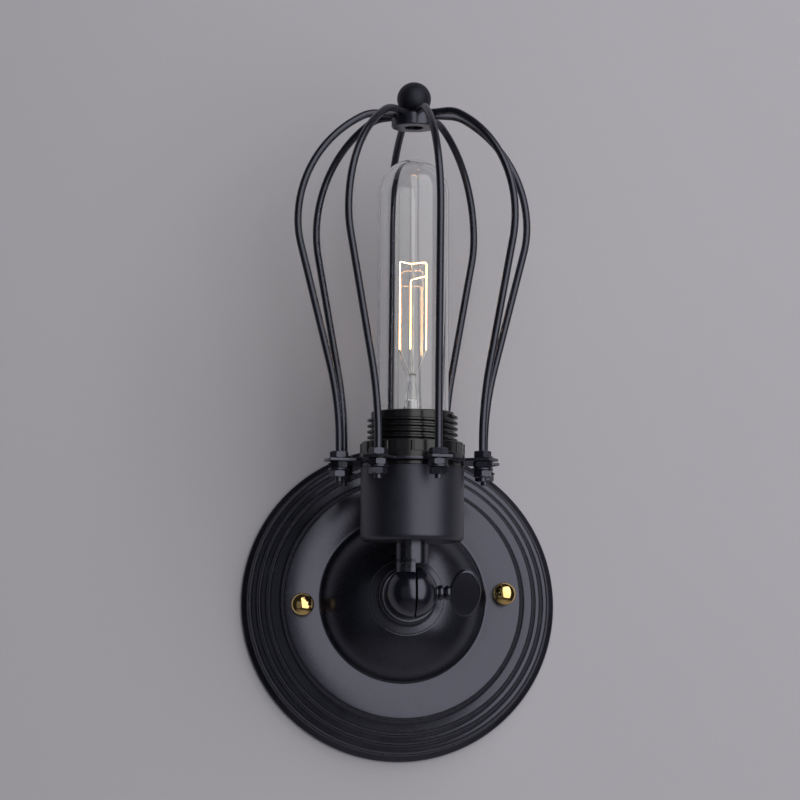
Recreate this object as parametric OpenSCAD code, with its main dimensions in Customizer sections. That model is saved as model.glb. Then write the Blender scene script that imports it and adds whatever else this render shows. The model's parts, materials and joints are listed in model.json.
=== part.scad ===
// Wall light with a swivelling lamp head in a bulged wire cage.
// The origin is the centre of the canopy's back, where it meets the wall.
// +Z is up, -Y faces the room. Millimetres.

/* [Canopy] */
// Diameter of the canopy where it meets the wall
canopy_d = 140; // [136:1:150]
// Thickness of the pressed steel
canopy_t = 1; // [0.8:0.1:1.4]
// Height of the canopy's upright edge at the wall
rim_h = 1.5; // [1:0.1:2.5]
// Slope of the rim inside that edge
rim_slope = 38; // [25:1:45]
// Distance from the edge in to the first ridge
rim_in = 3.6; // [3:0.1:5]
// Height of the first ridge above the wall
first_ridge_h = 9; // [8:0.2:10]
// Distance from one ridge in to the next
ridge_in = 4; // [3.6:0.1:4.6]
// Rise from one ridge to the next
ridge_up = 4.6; // [4.2:0.1:5.4]
// Outward slope of the steps above the ridges
ridge_slope = 18; // [10:1:22]
// Radius on the shoulder of a ridge
ridge_round = 1.2; // [1.1:0.1:1.6]
// Radius in the foot of the wall above a ridge
ridge_foot = 2.4; // [1.6:0.1:2.6]
// Distance from the last ridge in to the ring's edge
ring_in = 5.9; // [5.4:0.1:7]
// Rise from the last ridge to the crest of the ring
ring_up = 5.3; // [5:0.1:6]
// Diameter of the ring's crest
crest_d = 84; // [80:0.5:88]
// Crown radius of the ring
ring_crown_r = 28; // [24:1:40]
// Radius on the ring's outer edge
ring_round = 2; // [1.6:0.1:2.6]
// Distance between the middles of the cap nuts on the ring
stud_gap = 88.6; // [86:0.2:92]
// Diameter at which the dome rises out of the ring
valley_d = 72.6; // [70:0.2:74]
// Height at which the dome rises out of the ring
valley_h = 23; // [22:0.1:23.2]
// Radius in the hollow between ring and dome
valley_round = 1.8; // [1.2:0.1:2.4]
// Height of the flat seat on top of the dome
seat_h = 40; // [37:0.5:42]
// Diameter of the flat seat on top of the dome
seat_d = 33; // [31:0.5:36]

/* [Wall strap] */
// Turn of the strap and its cap nuts away from level
strap_turn = 3.4; // [0:0.1:8]
// Width of the strap
strap_w = 15; // [12:1:18]
// Thickness of the strap
strap_t = 2; // [1.5:0.1:2.5]
// Height of the raised ends of the strap above the wall
strap_raise = 3.6; // [3.4:0.1:4.5]
// Length of the strap
strap_len = 102; // [100:1:110]
// Distance between the wall screw holes
wall_screw_gap = 60; // [50:1:64]
// Diameter of the wall screw holes
wall_screw_d = 4.6; // [4:0.1:5.5]
// Diameter of the cable hole in the strap
cable_hole_d = 10; // [8:0.5:11]
// Diameter of the strap studs
stud_d = 4; // [3.5:0.5:5]
// Diameter of the brass balls that cap the studs
cap_ball_d = 10; // [9:0.5:12]

/* [Collar and swivel] */
// Distance of the swivel's centre from the wall
swivel_out = 62; // [60:0.5:75]
// Thickness of the collar's wide foot
collar_foot_h = 1.8; // [1.4:0.1:2.2]
// Diameter of the collar's front
collar_front_d = 25.6; // [25:0.2:29]
// Height of the collar from its foot to its front
collar_h = 9.5; // [8.5:0.1:10]
// Diameter of the split ball
ball_d = 22.1; // [20:0.1:23]
// Wall of the hollow ball
ball_wall = 2.4; // [2:0.1:2.8]
// Distance of the split from the middle of the ball
split_x = 1; // [0:0.1:1.5]
// Gap between the two halves of the ball
split_gap = 0.4; // [0.2:0.05:0.6]
// Diameter of the stem above the ball and of the neck behind it
stem_d = 14.1; // [13:0.1:15]
// Distance from the swivel's centre to the stem's lower end
stem_z = 11.8; // [11.6:0.1:12.6]
// Diameter of the short waist between ball and stem
waist_d = 10.8; // [10:0.1:12]
// Outer diameter of the hollow threaded tubes
tube_d = 10; // [9:0.5:10.5]
// Bore of the hollow threaded tubes
tube_bore_d = 7; // [6:0.5:7.5]
// Diameter of the pivot screw
pivot_d = 5; // [4:0.5:5.5]
// Width of the wing along the screw
wing_w = 13.6; // [11:0.2:15]
// Height of the wing across the screw
wing_h = 21.4; // [17:0.2:23]
// Thickness of the wing
wing_t = 2.4; // [1.8:0.1:3]
// Turn of the wing about the screw
wing_turn = 24; // [-40:1:40]

/* [Lamp head] */
// Forward lean of the lamp head as it stands
head_lean = 3; // [0:0.5:8]
// Distance from the swivel's centre to the bottom of the cup
cup_z = 21.4; // [20:0.2:26]
// Diameter of the cup
cup_d = 44.1; // [43.5:0.1:48]
// Height of the cup
cup_h = 31.6; // [29:0.2:34]
// Wall of the cup
cup_t = 1; // [0.8:0.1:1.2]
// Radius round the bottom of the cup
cup_round = 2.4; // [2:0.1:4]
// Thickness of the lampholder's flange
flange_t = 1.8; // [1.5:0.1:2.5]
// Diameter of the lampholder's outer thread
holder_thread_d = 39; // [38.5:0.1:39.5]
// Root diameter of the lampholder's outer thread
holder_root_d = 35.6; // [35.4:0.1:36.5]
// Pitch of the lampholder's outer thread
holder_pitch = 2.5; // [2:0.1:3]
// Height of the lampholder above its flange
holder_h = 21.9; // [20:0.1:24]
// Depth of the bulb's contact below the lampholder's mouth
socket_deep = 30.5; // [29.5:0.1:31.5]
// Diameter of the ring nut
ring_nut_d = 45; // [44:0.5:50]
// Height of the ring nut
ring_nut_h = 7.7; // [6:0.1:9]
// Height of the plain foot of the ring nut
ring_nut_foot = 2.8; // [2:0.1:3.5]

/* [Cage] */
// Number of cage wires
wire_count = 8; // [8]
// Diameter of a cage wire
wire_d = 3.2; // [2.8:0.1:3.6]
// Turn of the wires' upper halves and the hub about the lamp
cage_turn = 7; // [0:0.5:22]
// Turn of the foot plate's ears ahead of the hub
ear_turn = 6.5; // [0:0.5:9]
// Thickness of the cage's foot plate
foot_t = 1.2; // [1:0.1:1.6]
// Diameter of the foot plate without its ears
foot_d = 54; // [51:0.5:58]
// Radius at which the wires pass through the ears
ear_r = 32.8; // [31.5:0.1:35]
// Width of an ear
ear_w = 9.2; // [8.5:0.1:10]
// Length of an ear beyond its wire
ear_tip = 5.2; // [4.5:0.1:6]
// Across flats of the nuts on the wires
nut_af = 7; // [6:0.1:7.4]
// Thickness of the nuts on the wires
nut_h = 3; // [2.4:0.1:3.2]
// Length of wire that stands out below its nuts
wire_end = 1.2; // [0.5:0.1:3]
// Radius of the cage at its widest
belly_at_r = 50.5; // [47:0.5:54]
// Distance from the wires at the hub down to the widest place
belly_down = 47.6; // [44:0.2:50]
// Height of the wires at the hub above the bulb's top
crown_up = 19.8; // [17.8:0.2:23.8]
// Bend radius of the wires near the hub
shoulder_r = 15; // [10:0.5:20]
// Bend radius of the wires over the crown
crown_r = 52; // [49:0.5:56]
// Bend radius of the wires just below the widest place
belly_r = 45; // [35:1:55]
// Bend radius of the wires above the foot
waist_r = 140; // [110:5:150]
// Slope of the wires between belly and waist
taper = 14; // [13:0.5:16]
// Diameter of the hub
hub_d = 19.4; // [18:0.2:22]
// Height of the hub below the middle of the wires
hub_below = 5.8; // [4.5:0.1:7]
// Height of the hub above the middle of the wires
hub_above = 0.6; // [0.2:0.1:1.2]
// Diameter of the hole under the hub
hub_hole_d = 8; // [6.5:0.5:9]
// Diameter of the ball on top
finial_d = 14.7; // [13:0.1:16]
// Height of the ball's centre above the middle of the wires
finial_up = 6.8; // [6:0.1:8]

/* [Bulb] */
// Diameter of the bulb's glass
bulb_d = 30.6; // [29:0.1:31]
// Length of the bulb from its contact to its top
bulb_len = 140; // [136:1:146]
// Thickness of the glass
glass_t = 0.8; // [0.6:0.1:1]
// Largest diameter of the bulb's screw cap
cap_d = 26.2; // [25.8:0.1:26.4]
// Height of the filament
filament_h = 38; // [32:1:42]
// Distance from the bulb's contact to the foot of the filament
filament_up = 57.5; // [54:0.5:62]
// Radius of the ring of filament legs
filament_r = 5.8; // [4.5:0.1:7]
// Turn of the filament in the bulb
filament_turn = 5; // [0:1:45]

/* [Hidden] */
$fn = 96;

// Clearances
running = 0.05;
loose = 0.15;
swing_gap = 0.35;
eps = 0.01;
inlay = 0.3;

// Finishes
black = [0.06, 0.06, 0.07];
bakelite = [0.03, 0.03, 0.035];
steel = [0.62, 0.62, 0.6];
brass = [0.85, 0.62, 0.25];
glass = [0.85, 0.9, 0.92, 0.35];

// Canopy
canopy_r = canopy_d / 2;
rim_round = 1.2;
ridge_n = 3;
valley_r = valley_d / 2;
seat_r = seat_d / 2;
ring_r = canopy_r - rim_in - (ridge_n - 1) * ridge_in - ring_in;
ring_h = first_ridge_h + (ridge_n - 1) * ridge_up + ring_up;
stud_r = stud_gap / 2;
dome_z = (seat_r * seat_r + seat_h * seat_h - valley_r * valley_r - valley_h * valley_h)
    / (2 * (seat_h - valley_h));
dome_r = norm([seat_r, seat_h - dome_z]);
dome_c = [0, dome_z];
crown_c = [crest_d / 2, ring_h - ring_crown_r];
ring_edge_x = ring_r - ring_round;
ring_edge_c = [ring_edge_x,
    crown_c.y + sqrt(pow(ring_crown_r - ring_round, 2) - pow(ring_edge_x - crown_c.x, 2))];
last_ridge_r = canopy_r - rim_in - (ridge_n - 1) * ridge_in;
last_ridge_h = first_ridge_h + (ridge_n - 1) * ridge_up;

// Threaded tubes, swivel and pivot
tube_r = tube_d / 2;
tube_hole_r = tube_r + running;
stem_r = stem_d / 2;
ball_r = ball_d / 2;
cavity_r = ball_r - ball_wall;
collar_front_r = collar_front_d / 2;
collar_web = 4;
neck_end = swivel_out - seat_h - collar_web;
pivot_r = pivot_d / 2;
pivot_boss_r = pivot_r + 1.6;
collar_nut_af = 14;
collar_nut_h = 4;
washer_t = 0.8;
thread_start = 13.5;
tube_in_neck = neck_end - thread_start - 0.5;
stem_round = 1.2;
pivot_floor = 2.2;
pole_x = ball_r - 0.7;
tube_tail = 1.5;

// Lampholder
holder_thread_r = holder_thread_d / 2;
holder_root_r = holder_root_d / 2;
cup_r = cup_d / 2;
cup_inner_r = cup_r - cup_t;
cup_floor = 1.2;
cup_top = cup_z + cup_h;
flange_top = cup_top + flange_t;
foot_top = flange_top + foot_t;
holder_top = foot_top + holder_h - foot_t;
contact_z = holder_top - socket_deep;
bulb_top = contact_z + bulb_len;
partition_t = 3;
contact_t = 1;
partition_top = contact_z - contact_t - running;
base_floor = 3;
base_top = partition_top - partition_t;
base_r = cup_inner_r - 2.2;
base_wall = 2;
shell_r = cap_d / 2 + 0.3;
shell_t = 0.4;
shell_h = 16;
mouth_r = bulb_d / 2 + 0.7;
mouth_up = 19.5;
thread_in = 3.7;
mouth_z = contact_z + mouth_up;

// Cage
wire_r = wire_d / 2;
wire_hole_r = wire_r + running;
bend_swell = 0.01;
bend_lap = 0.05;
bead_lap = 0.1;
socket_depth = 4.2;
hub_r = hub_d / 2;
crown_z = bulb_top + crown_up;
belly_at_z = crown_z - belly_down;
crown_turn = asin((belly_down - shoulder_r) / (crown_r - shoulder_r));
sway = atan2(ear_r * sin(ear_turn), belly_at_r - ear_r * cos(ear_turn));
run_in = norm([ear_r * sin(ear_turn), belly_at_r - ear_r * cos(ear_turn)]);
straight = (run_in - (belly_r + waist_r) * (1 - cos(taper))) / sin(taper);
waist_z = belly_at_z - (belly_r + waist_r) * sin(taper) - straight * cos(taper);
ear_washer_d = 9;
stack_bottom = flange_top - 2 * nut_h - washer_t;
finial_z = crown_z + finial_up;
finial_stud_r = 2.5;

// Bulb
bulb_r = bulb_d / 2;
cap_r = cap_d / 2;
cap_h = 25;
cap_top = contact_z + cap_h;
insulator_h = 3.6;
contact_h = 1.2;
cap_root_r = cap_r - 0.75;
cap_sheet = 0.4;
glass_neck_r = cap_root_r - cap_sheet - running;
cap_lip_r = glass_neck_r - 0.7;
shoulder_h = 4.2;
stem_top = contact_z + 46;
button_r = 2.4;
button_z = stem_top - 1;
filament_wire_r = 0.2;
hook_r = 0.15;
lead_r = 0.35;

// Turns local +Z to the front, away from the wall.
module from_wall(h = 0) {
    rotate([90, 0, 0]) translate([0, 0, h]) children();
}

// Places the lamp head's own frame: its origin is the swivel's centre and +Z runs up the lamp.
module on_head() {
    translate([0, -swivel_out, 0]) rotate([head_lean, 0, 0]) children();
}

// Turns local +X to face out along cage wire i.
module on_wire(i, ahead = 0) {
    rotate([0, 0, cage_turn + ahead - 90 + i * 360 / wire_count]) children();
}

// Places one copy at the hole of each ear.
module on_each_ear() {
    for (i = [0 : wire_count - 1]) on_wire(i, ear_turn) translate([ear_r, 0, 0]) children();
}

// Under a surface that falls outwards to the corner at r and h, and turns down there over round_r.
module step_block(r, h, slope, run, round_r, s) {
    middle = [r - round_r, h + round_r * tan(slope) - round_r / cos(slope)];
    e = round_r - s;
    top = h + (run + 2) * tan(slope) - s / cos(slope);
    translate(middle) circle(e);
    polygon([[0, -1], [r - s, -1], [r - s, middle.y], middle + e * [sin(slope), cos(slope)],
        [r - run - 2, top], [0, top]]);
}

// Fillet between a wall at wall_r and the surface that falls from it to the corner at r and h.
module step_foot(wall_r, r, h, slope, foot_r, s) {
    middle = [wall_r + foot_r, h + (r - wall_r - foot_r) * tan(slope) + foot_r / cos(slope)];
    low = middle - (foot_r + s + inlay) * [sin(slope), cos(slope)];
    difference() {
        polygon([middle, [wall_r - s - inlay, middle.y], [wall_r - s - inlay, low.y], low]);
        translate(middle) circle(foot_r + s);
    }
}

// The point above the line from a to b that is ra from a and rb from b.
function apex(a, b, ra, rb) =
    let(d = norm(b - a), u = (b - a) / d, x = (ra * ra - rb * rb + d * d) / (2 * d))
    a + x * u + sqrt(ra * ra - x * x) * [-u.y, u.x];

// The point that lies length away from a on the way to b.
function towards(a, b, length) = a + length * (b - a) / norm(b - a);

// Hollow that runs from one round surface into another: a and b are points in them, c is under both.
module hollow(middle, r, a, b, c) {
    difference() {
        polygon([middle, a, c, b]);
        translate(middle) circle(r);
    }
}

// Everything under the canopy's skin, taken in by s: s = 0 is the outside, s = canopy_t the inside.
module under_skin(s) {
    step_block(canopy_r, rim_h, rim_slope, rim_in, rim_round, s);
    step_foot(canopy_r - rim_in, canopy_r, rim_h, rim_slope, ridge_foot, s);
    for (k = [0 : ridge_n - 1]) {
        r = canopy_r - rim_in - k * ridge_in;
        h = first_ridge_h + k * ridge_up;
        step_block(r, h, ridge_slope, k < ridge_n - 1 ? ridge_in : ring_in, ridge_round, s);
        if (k < ridge_n - 1) step_foot(r - ridge_in, r, h, ridge_slope, ridge_foot, s);
    }
    ring_profile(s);
    intersection() {
        translate(dome_c) circle(dome_r - s);
        translate([0, ring_edge_c.y]) square([valley_r + 3, seat_h - ring_edge_c.y - s]);
    }
}

// The crowned ring, its rounded edge, and the hollows that join it to the last step and to the dome.
module ring_profile(s) {
    way = [-cos(ridge_slope), sin(ridge_slope)];
    up = [sin(ridge_slope), cos(ridge_slope)];
    line = [last_ridge_r, last_ridge_h] + ridge_foot / cos(ridge_slope) * [0, 1] - ring_edge_c;
    reach = -line * way - sqrt(pow(ring_round + ridge_foot, 2) - line * line + pow(line * way, 2));
    foot_c = ring_edge_c + line + reach * way;
    valley_c = apex(dome_c, crown_c, dome_r + valley_round, ring_crown_r + valley_round);
    out = (ring_edge_c - crown_c) / norm(ring_edge_c - crown_c);
    low = foot_c - (ridge_foot + s + inlay) * up;
    translate(ring_edge_c) circle(ring_round - s);
    hollow(foot_c, ridge_foot + s, ring_edge_c, low, [ring_edge_c.x, low.y]);
    intersection() {
        translate(crown_c) circle(ring_crown_r - s);
        translate([valley_r - 3, 0])
            square([crown_c.x + (ring_crown_r - s) * out.x - valley_r + 3, ring_h + 1]);
    }
    hollow(valley_c, valley_round + s, towards(dome_c, valley_c, dome_r - s - inlay),
        towards(crown_c, valley_c, ring_crown_r - s - inlay), [valley_r, valley_h - 2 * s - 1]);
    translate([0, -1]) square([ring_r - s, ring_edge_c.y + 1]);
}

module canopy() {
    color(black) from_wall() difference() {
        rotate_extrude() intersection() {
            difference() {
                under_skin(0);
                under_skin(canopy_t);
            }
            square([canopy_r + 1, seat_h + 1]);
        }
        translate([0, 0, seat_h - 3]) cylinder(r = tube_r + loose, h = 6);
        at_studs() translate([0, 0, ring_h - 6]) cylinder(r = stud_d / 2 + loose, h = 12);
    }
}

module at_studs() {
    rotate([0, 0, strap_turn]) for (x = [-stud_r, stud_r]) translate([x, 0, 0]) children();
}

// Steel strap with raised ends, so that the stud heads clear the wall.
module wall_strap() {
    end_in = stud_r - 9;
    color(steel) from_wall() rotate([0, 0, strap_turn]) difference() {
        translate([0, strap_w / 2, 0]) rotate([90, 0, 0]) linear_extrude(strap_w) polygon([
            [-strap_len / 2, strap_raise], [-end_in, strap_raise], [-end_in + strap_raise, 0],
            [end_in - strap_raise, 0], [end_in, strap_raise], [strap_len / 2, strap_raise],
            [strap_len / 2, strap_raise + strap_t], [end_in - 0.8, strap_raise + strap_t],
            [end_in - strap_raise - 0.8, strap_t], [-end_in + strap_raise + 0.8, strap_t],
            [-end_in + 0.8, strap_raise + strap_t], [-strap_len / 2, strap_raise + strap_t]]);
        for (x = [-stud_r, stud_r]) translate([x, 0, -1])
            cylinder(r = stud_d / 2 + running, h = strap_raise + strap_t + 2);
        for (x = [-wall_screw_gap, wall_screw_gap]) translate([x / 2, 0, -1])
            cylinder(d = wall_screw_d, h = strap_t + 2);
        translate([0, 0, -1]) cylinder(d = cable_hole_d, h = strap_t + 2);
        translate([earth_x, 0, -1]) cylinder(r = earth_r + running, h = strap_t + 2);
        translate([block_x, 0, -1]) cylinder(r = block_screw_r + running, h = strap_t + 2);
    }
}

stud_head_h = 2.6;
stud_top = ring_h + 4.5;

module strap_studs() {
    color(steel) from_wall() at_studs() {
        translate([0, 0, strap_raise - stud_head_h]) cylinder(d = stud_d * 1.9, h = stud_head_h);
        translate([0, 0, strap_raise - eps]) cylinder(d = stud_d, h = stud_top - strap_raise + eps);
    }
}

// Hexagon nut standing on z = 0, with a plain hole.
module hex_nut(af, h, hole_r) {
    difference() {
        intersection() {
            cylinder(d = af / cos(30), h = h, $fn = 6);
            union() {
                cylinder(d1 = af, d2 = af + 2 * h, h = h / 2);
                translate([0, 0, h / 2]) cylinder(d1 = af + 2 * h, d2 = af, h = h / 2);
            }
        }
        translate([0, 0, -1]) cylinder(r = hole_r, h = h + 2);
    }
}

module stud_nuts() {
    color(steel) from_wall(strap_raise + strap_t) at_studs()
        hex_nut(stud_d * 1.75, 3.2, stud_d / 2 + running);
}

// Brass balls with a short foot, screwed down on the flat ring.
cap_foot_h = 1.6;

module cap_nuts() {
    ball = cap_ball_d / 2;
    color(brass) from_wall(ring_h) at_studs() difference() {
        union() {
            cylinder(r = ball * 0.84, h = cap_foot_h);
            translate([0, 0, ball * 0.9]) sphere(ball);
        }
        translate([0, 0, -ball * 2]) cylinder(r = ball * 2, h = ball * 2);
        translate([0, 0, -1]) cylinder(r = stud_d / 2 + running, h = stud_top - ring_h + 1.3);
    }
}

earth_x = -14;
earth_r = 2;
block_x = 14;
block_screw_r = 1.5;
block_h = 9;

module earth_screw() {
    color(brass) from_wall() rotate([0, 0, strap_turn]) translate([earth_x, 0, 0]) difference() {
        union() {
            translate([0, 0, 0.3]) cylinder(r = earth_r, h = strap_t + 2);
            translate([0, 0, strap_t]) cylinder(r = earth_r * 2.2, h = 0.8);
            translate([0, 0, strap_t + 0.8]) cylinder(r = earth_r * 1.8, h = 2.2);
        }
        translate([-earth_r * 2, -0.4, strap_t + 2]) cube([earth_r * 4, 0.8, 2]);
    }
}

// Connector block with two wire channels, held on the strap by one screw.
module terminal_block() {
    color("ivory") from_wall(strap_t) rotate([0, 0, strap_turn]) translate([block_x, 0, 0]) difference() {
        translate([-6, -9, 0]) cube([12, 18, block_h]);
        for (y = [-5.5, 5.5]) {
            translate([-7, y, 5]) rotate([0, 90, 0]) cylinder(r = 1.7, h = 14);
            for (x = [-3, 3]) translate([x, y, 5]) cylinder(r = 1.4, h = block_h);
        }
        translate([0, 0, -1]) cylinder(r = block_screw_r + loose, h = block_h + 2);
        translate([0, 0, 4]) cylinder(r = 3.2, h = block_h);
    }
}

module terminal_screws() {
    color(steel) from_wall(strap_t) rotate([0, 0, strap_turn]) translate([block_x, 0, 0]) {
        for (x = [-3, 3], y = [-5.5, 5.5]) translate([x, y, 6.2]) difference() {
            cylinder(r = 1.3, h = 2.4);
            translate([-2, -0.3, 1.8]) cube([4, 0.6, 2]);
        }
        translate([0, 0, -1.7]) cylinder(r = block_screw_r, h = 5.7);
        translate([0, 0, 4]) difference() {
            cylinder(r = 2.8, h = 1.8);
            translate([-3, -0.4, 1]) cube([6, 0.8, 2]);
        }
    }
}

// Round lead that runs straight from point to point, with ball joints.
module lead(points, r) {
    for (i = [0 : len(points) - 2]) {
        d = points[i + 1] - points[i];
        translate(points[i]) {
            rotate([0, acos(d.z / norm(d)), atan2(d.y, d.x)]) cylinder(r = r, h = norm(d));
            if (i > 0) sphere(r * 1.03);
        }
    }
}

lead_cover_r = 1.1;

// The two leads from the terminal block into the canopy's threaded tube, and the earth lead.
module supply_leads() {
    entry = seat_h - canopy_t - collar_nut_h - washer_t - tube_tail;
    color("saddlebrown") from_wall() rotate([0, 0, strap_turn]) for (y = [-5.5, 5.5])
        lead([[block_x - 3.6, y, strap_t + 5], [block_x - 9, y, strap_t + 5],
            [sign(y) * 0.2, y / 3.4, entry - 4], [sign(y) * 0.2, y / 3.4, swivel_out - 11]], lead_cover_r);
    color("olivedrab") from_wall() rotate([0, 0, strap_turn])
        lead([[earth_x, 4.6, strap_t + 1.9], [earth_x, 9, strap_t + 5], [-8, 9, entry - 6],
            [-7.4, 6.4, seat_h - canopy_t - washer_t - 1]], 0.9);
}

module canopy_tube() {
    tube_len = tube_in_neck + collar_web + canopy_t + washer_t + collar_nut_h + tube_tail;
    color(steel) from_wall(seat_h + collar_web + tube_in_neck - tube_len) difference() {
        cylinder(r = tube_r, h = tube_len);
        translate([0, 0, -1]) cylinder(d = tube_bore_d, h = tube_len + 2);
    }
}

module canopy_nut() {
    color(steel) from_wall(seat_h - canopy_t - washer_t - collar_nut_h)
        hex_nut(collar_nut_af, collar_nut_h, tube_hole_r);
}

module canopy_washer() {
    color(steel) from_wall(seat_h - canopy_t - washer_t) difference() {
        cylinder(d = collar_nut_af + 4, h = washer_t);
        translate([0, 0, -1]) cylinder(r = tube_hole_r, h = washer_t + 2);
    }
}

// Turned collar between dome and swivel: wide foot, waist and rounded front.
module collar() {
    cove_r = 2.2;
    edge_r = 1.8;
    color(black) from_wall(seat_h) rotate_extrude() difference() {
        union() {
            square([seat_r - 0.8, collar_foot_h]);
            square([seat_r, collar_foot_h - 0.8]);
            translate([seat_r - 0.8, collar_foot_h - 0.8]) circle(0.8);
            square([collar_front_r, collar_h - edge_r]);
            square([collar_front_r - edge_r, collar_h]);
            translate([collar_front_r - edge_r, collar_h - edge_r]) circle(edge_r);
        }
        translate([collar_front_r + cove_r - 0.7, collar_foot_h + cove_r]) circle(cove_r);
        translate([0, -1]) square([tube_r + loose, collar_h + 2]);
        translate([0, collar_web]) square([stem_r + running, collar_h]);
    }
}

// Half of the hollow ball, beyond the plane x = face, with its neck along +Z.
// The neck is slim below stem_start. The pivot hole runs along X from hole_start for hole_len.
// The balls' seams lie at the angle seam.
module swivel_half(face, neck_len, stem_start, hole_start, hole_len, hole_r, seam) {
    edge = stem_start > 0 ? stem_round : 0;
    difference() {
        union() {
            rotate([0, 0, seam]) sphere(ball_r);
            cylinder(r = waist_d / 2, h = neck_len);
            translate([0, 0, stem_start + edge]) cylinder(r = stem_r, h = neck_len - stem_start - edge);
            if (edge > 0) translate([0, 0, stem_start]) rotate_extrude() {
                square([stem_r - edge, edge + eps]);
                intersection() {
                    translate([stem_r - edge, edge]) circle(edge);
                    square([stem_r, edge + eps]);
                }
            }
        }
        intersection() {
            rotate([0, 0, seam]) sphere(ball_r + swing_gap);
            translate([face - 4 * ball_r, -2 * ball_r, -2 * ball_r]) cube(4 * ball_r);
        }
        difference() {
            rotate([0, 0, seam]) sphere(cavity_r);
            rotate([0, 90, 0]) translate([0, 0, -ball_r]) cylinder(r = pivot_boss_r, h = 2 * ball_r);
        }
        cylinder(r = tube_bore_d / 2, h = neck_len + 1);
        translate([0, 0, thread_start]) cylinder(r = tube_hole_r, h = neck_len);
        translate([hole_start, 0, 0]) rotate([0, 90, 0]) cylinder(r = hole_r, h = hole_len);
    }
}

module swivel_base() {
    color(black) translate([0, -swivel_out, 0]) rotate([-90, 0, 0]) difference() {
        swivel_half(split_x + split_gap / 2, neck_end, 0, 0, 2 * ball_r, pivot_r + loose, 180);
        translate([pole_x, -ball_r, -ball_r]) cube(2 * ball_r);
    }
}

// The head's half faces the other way, and its pivot hole is blind.
module swivel_head() {
    color(black) on_head() rotate([0, 0, 180])
        swivel_half(split_gap / 2 - split_x, cup_z, stem_z, -2 * ball_r, 3 * ball_r - pivot_floor,
            pivot_r + running, 0);
}

wave_t = 0.4;
bead_1_r = 3.3;
bead_2_r = 3.15;
bead_w = 3.2;
wing_in_bead = 1.2;

module wave_washer() {
    color(steel) on_head() rotate([0, 90, 0]) translate([0, 0, pole_x]) difference() {
        cylinder(r = pivot_r + 0.6, h = wave_t);
        translate([0, 0, -1]) cylinder(r = pivot_r + loose, h = wave_t + 2);
    }
}

// Barrel-shaped bead along Z.
module bead(r, w) {
    rotate_extrude() {
        square([r - w / 2, w]);
        intersection() {
            translate([r - w / 2, w / 2]) circle(w / 2);
            square([r, w]);
        }
    }
}

// Oval outline from four arcs.
module oval(half_w, half_h, end_r) {
    up = half_h - end_r;
    d = (up * up - pow(half_w - end_r, 2)) / (2 * (half_w - end_r));
    side_r = half_w + d;
    meet = side_r * up / norm([d, up]);
    for (s = [-1, 1]) translate([0, s * up]) circle(end_r);
    intersection() {
        translate([-d, 0]) circle(side_r);
        translate([d, 0]) circle(side_r);
        square([2 * half_w, 2 * meet], center = true);
    }
}

module wing_screw() {
    start = pole_x + wave_t;
    wing_x = start + 2 * bead_w - wing_in_bead + wing_w / 2;
    color(black) on_head() rotate([wing_turn, 0, 0]) {
        rotate([0, 90, 0]) {
            translate([0, 0, pivot_floor + 1 - ball_r])
                cylinder(r = pivot_r, h = start + ball_r - pivot_floor);
            translate([0, 0, start]) bead(bead_1_r, bead_w);
            translate([0, 0, start + bead_w - bead_lap]) bead(bead_2_r, bead_w);
        }
        translate([wing_x, wing_t / 2, 0]) rotate([90, 0, 0]) linear_extrude(wing_t)
            oval(wing_w / 2, wing_h / 2, wing_w * 0.36);
    }
}

module head_tube() {
    bottom = thread_start + 0.2;
    top = cup_z + cup_floor + base_floor + 3;
    color(steel) on_head() translate([0, 0, bottom]) difference() {
        cylinder(r = tube_r, h = top - bottom);
        translate([0, 0, -1]) cylinder(d = tube_bore_d, h = top - bottom + 2);
    }
}

terminal_r = base_r - base_wall - 3;
terminal_head_r = 2.6;

// Each lead ends beside the screw that holds it.
module head_leads() {
    end_y = terminal_r - terminal_head_r - lead_cover_r - eps;
    color("saddlebrown") on_head() for (y = [-1, 1])
        lead([[0, y * 1.7, 9.5], [0, y * 1.7, cup_z + 8], [0, y * end_y, base_top - 6],
            [0, y * end_y, base_top - 2.2]], lead_cover_r);
}

// Pressed cup that covers the lampholder.
module socket_cup() {
    color(black) on_head() translate([0, 0, cup_z]) rotate_extrude() difference() {
        cup_outline(cup_r, 0, cup_round);
        cup_outline(cup_inner_r, cup_floor, cup_round - cup_t);
        translate([0, -1]) square([tube_r + loose, cup_h]);
    }
}

module cup_outline(r, floor_z, round_r) {
    translate([0, floor_z]) square([r - round_r, cup_h + 1 - floor_z]);
    translate([0, floor_z + round_r]) square([r, cup_h - round_r - floor_z + (floor_z > 0 ? 1 : 0)]);
    translate([r - round_r, floor_z + round_r]) circle(round_r);
}

// Lower half of the lampholder, screwed on the head tube.
module holder_base() {
    z0 = cup_z + cup_floor;
    color(bakelite) on_head() difference() {
        translate([0, 0, z0]) cylinder(r = base_r, h = base_top - z0);
        translate([0, 0, z0 + base_floor]) cylinder(r = base_r - base_wall, h = base_top);
        translate([0, 0, z0 - 1]) cylinder(r = tube_hole_r, h = base_floor + 2);
    }
}

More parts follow.
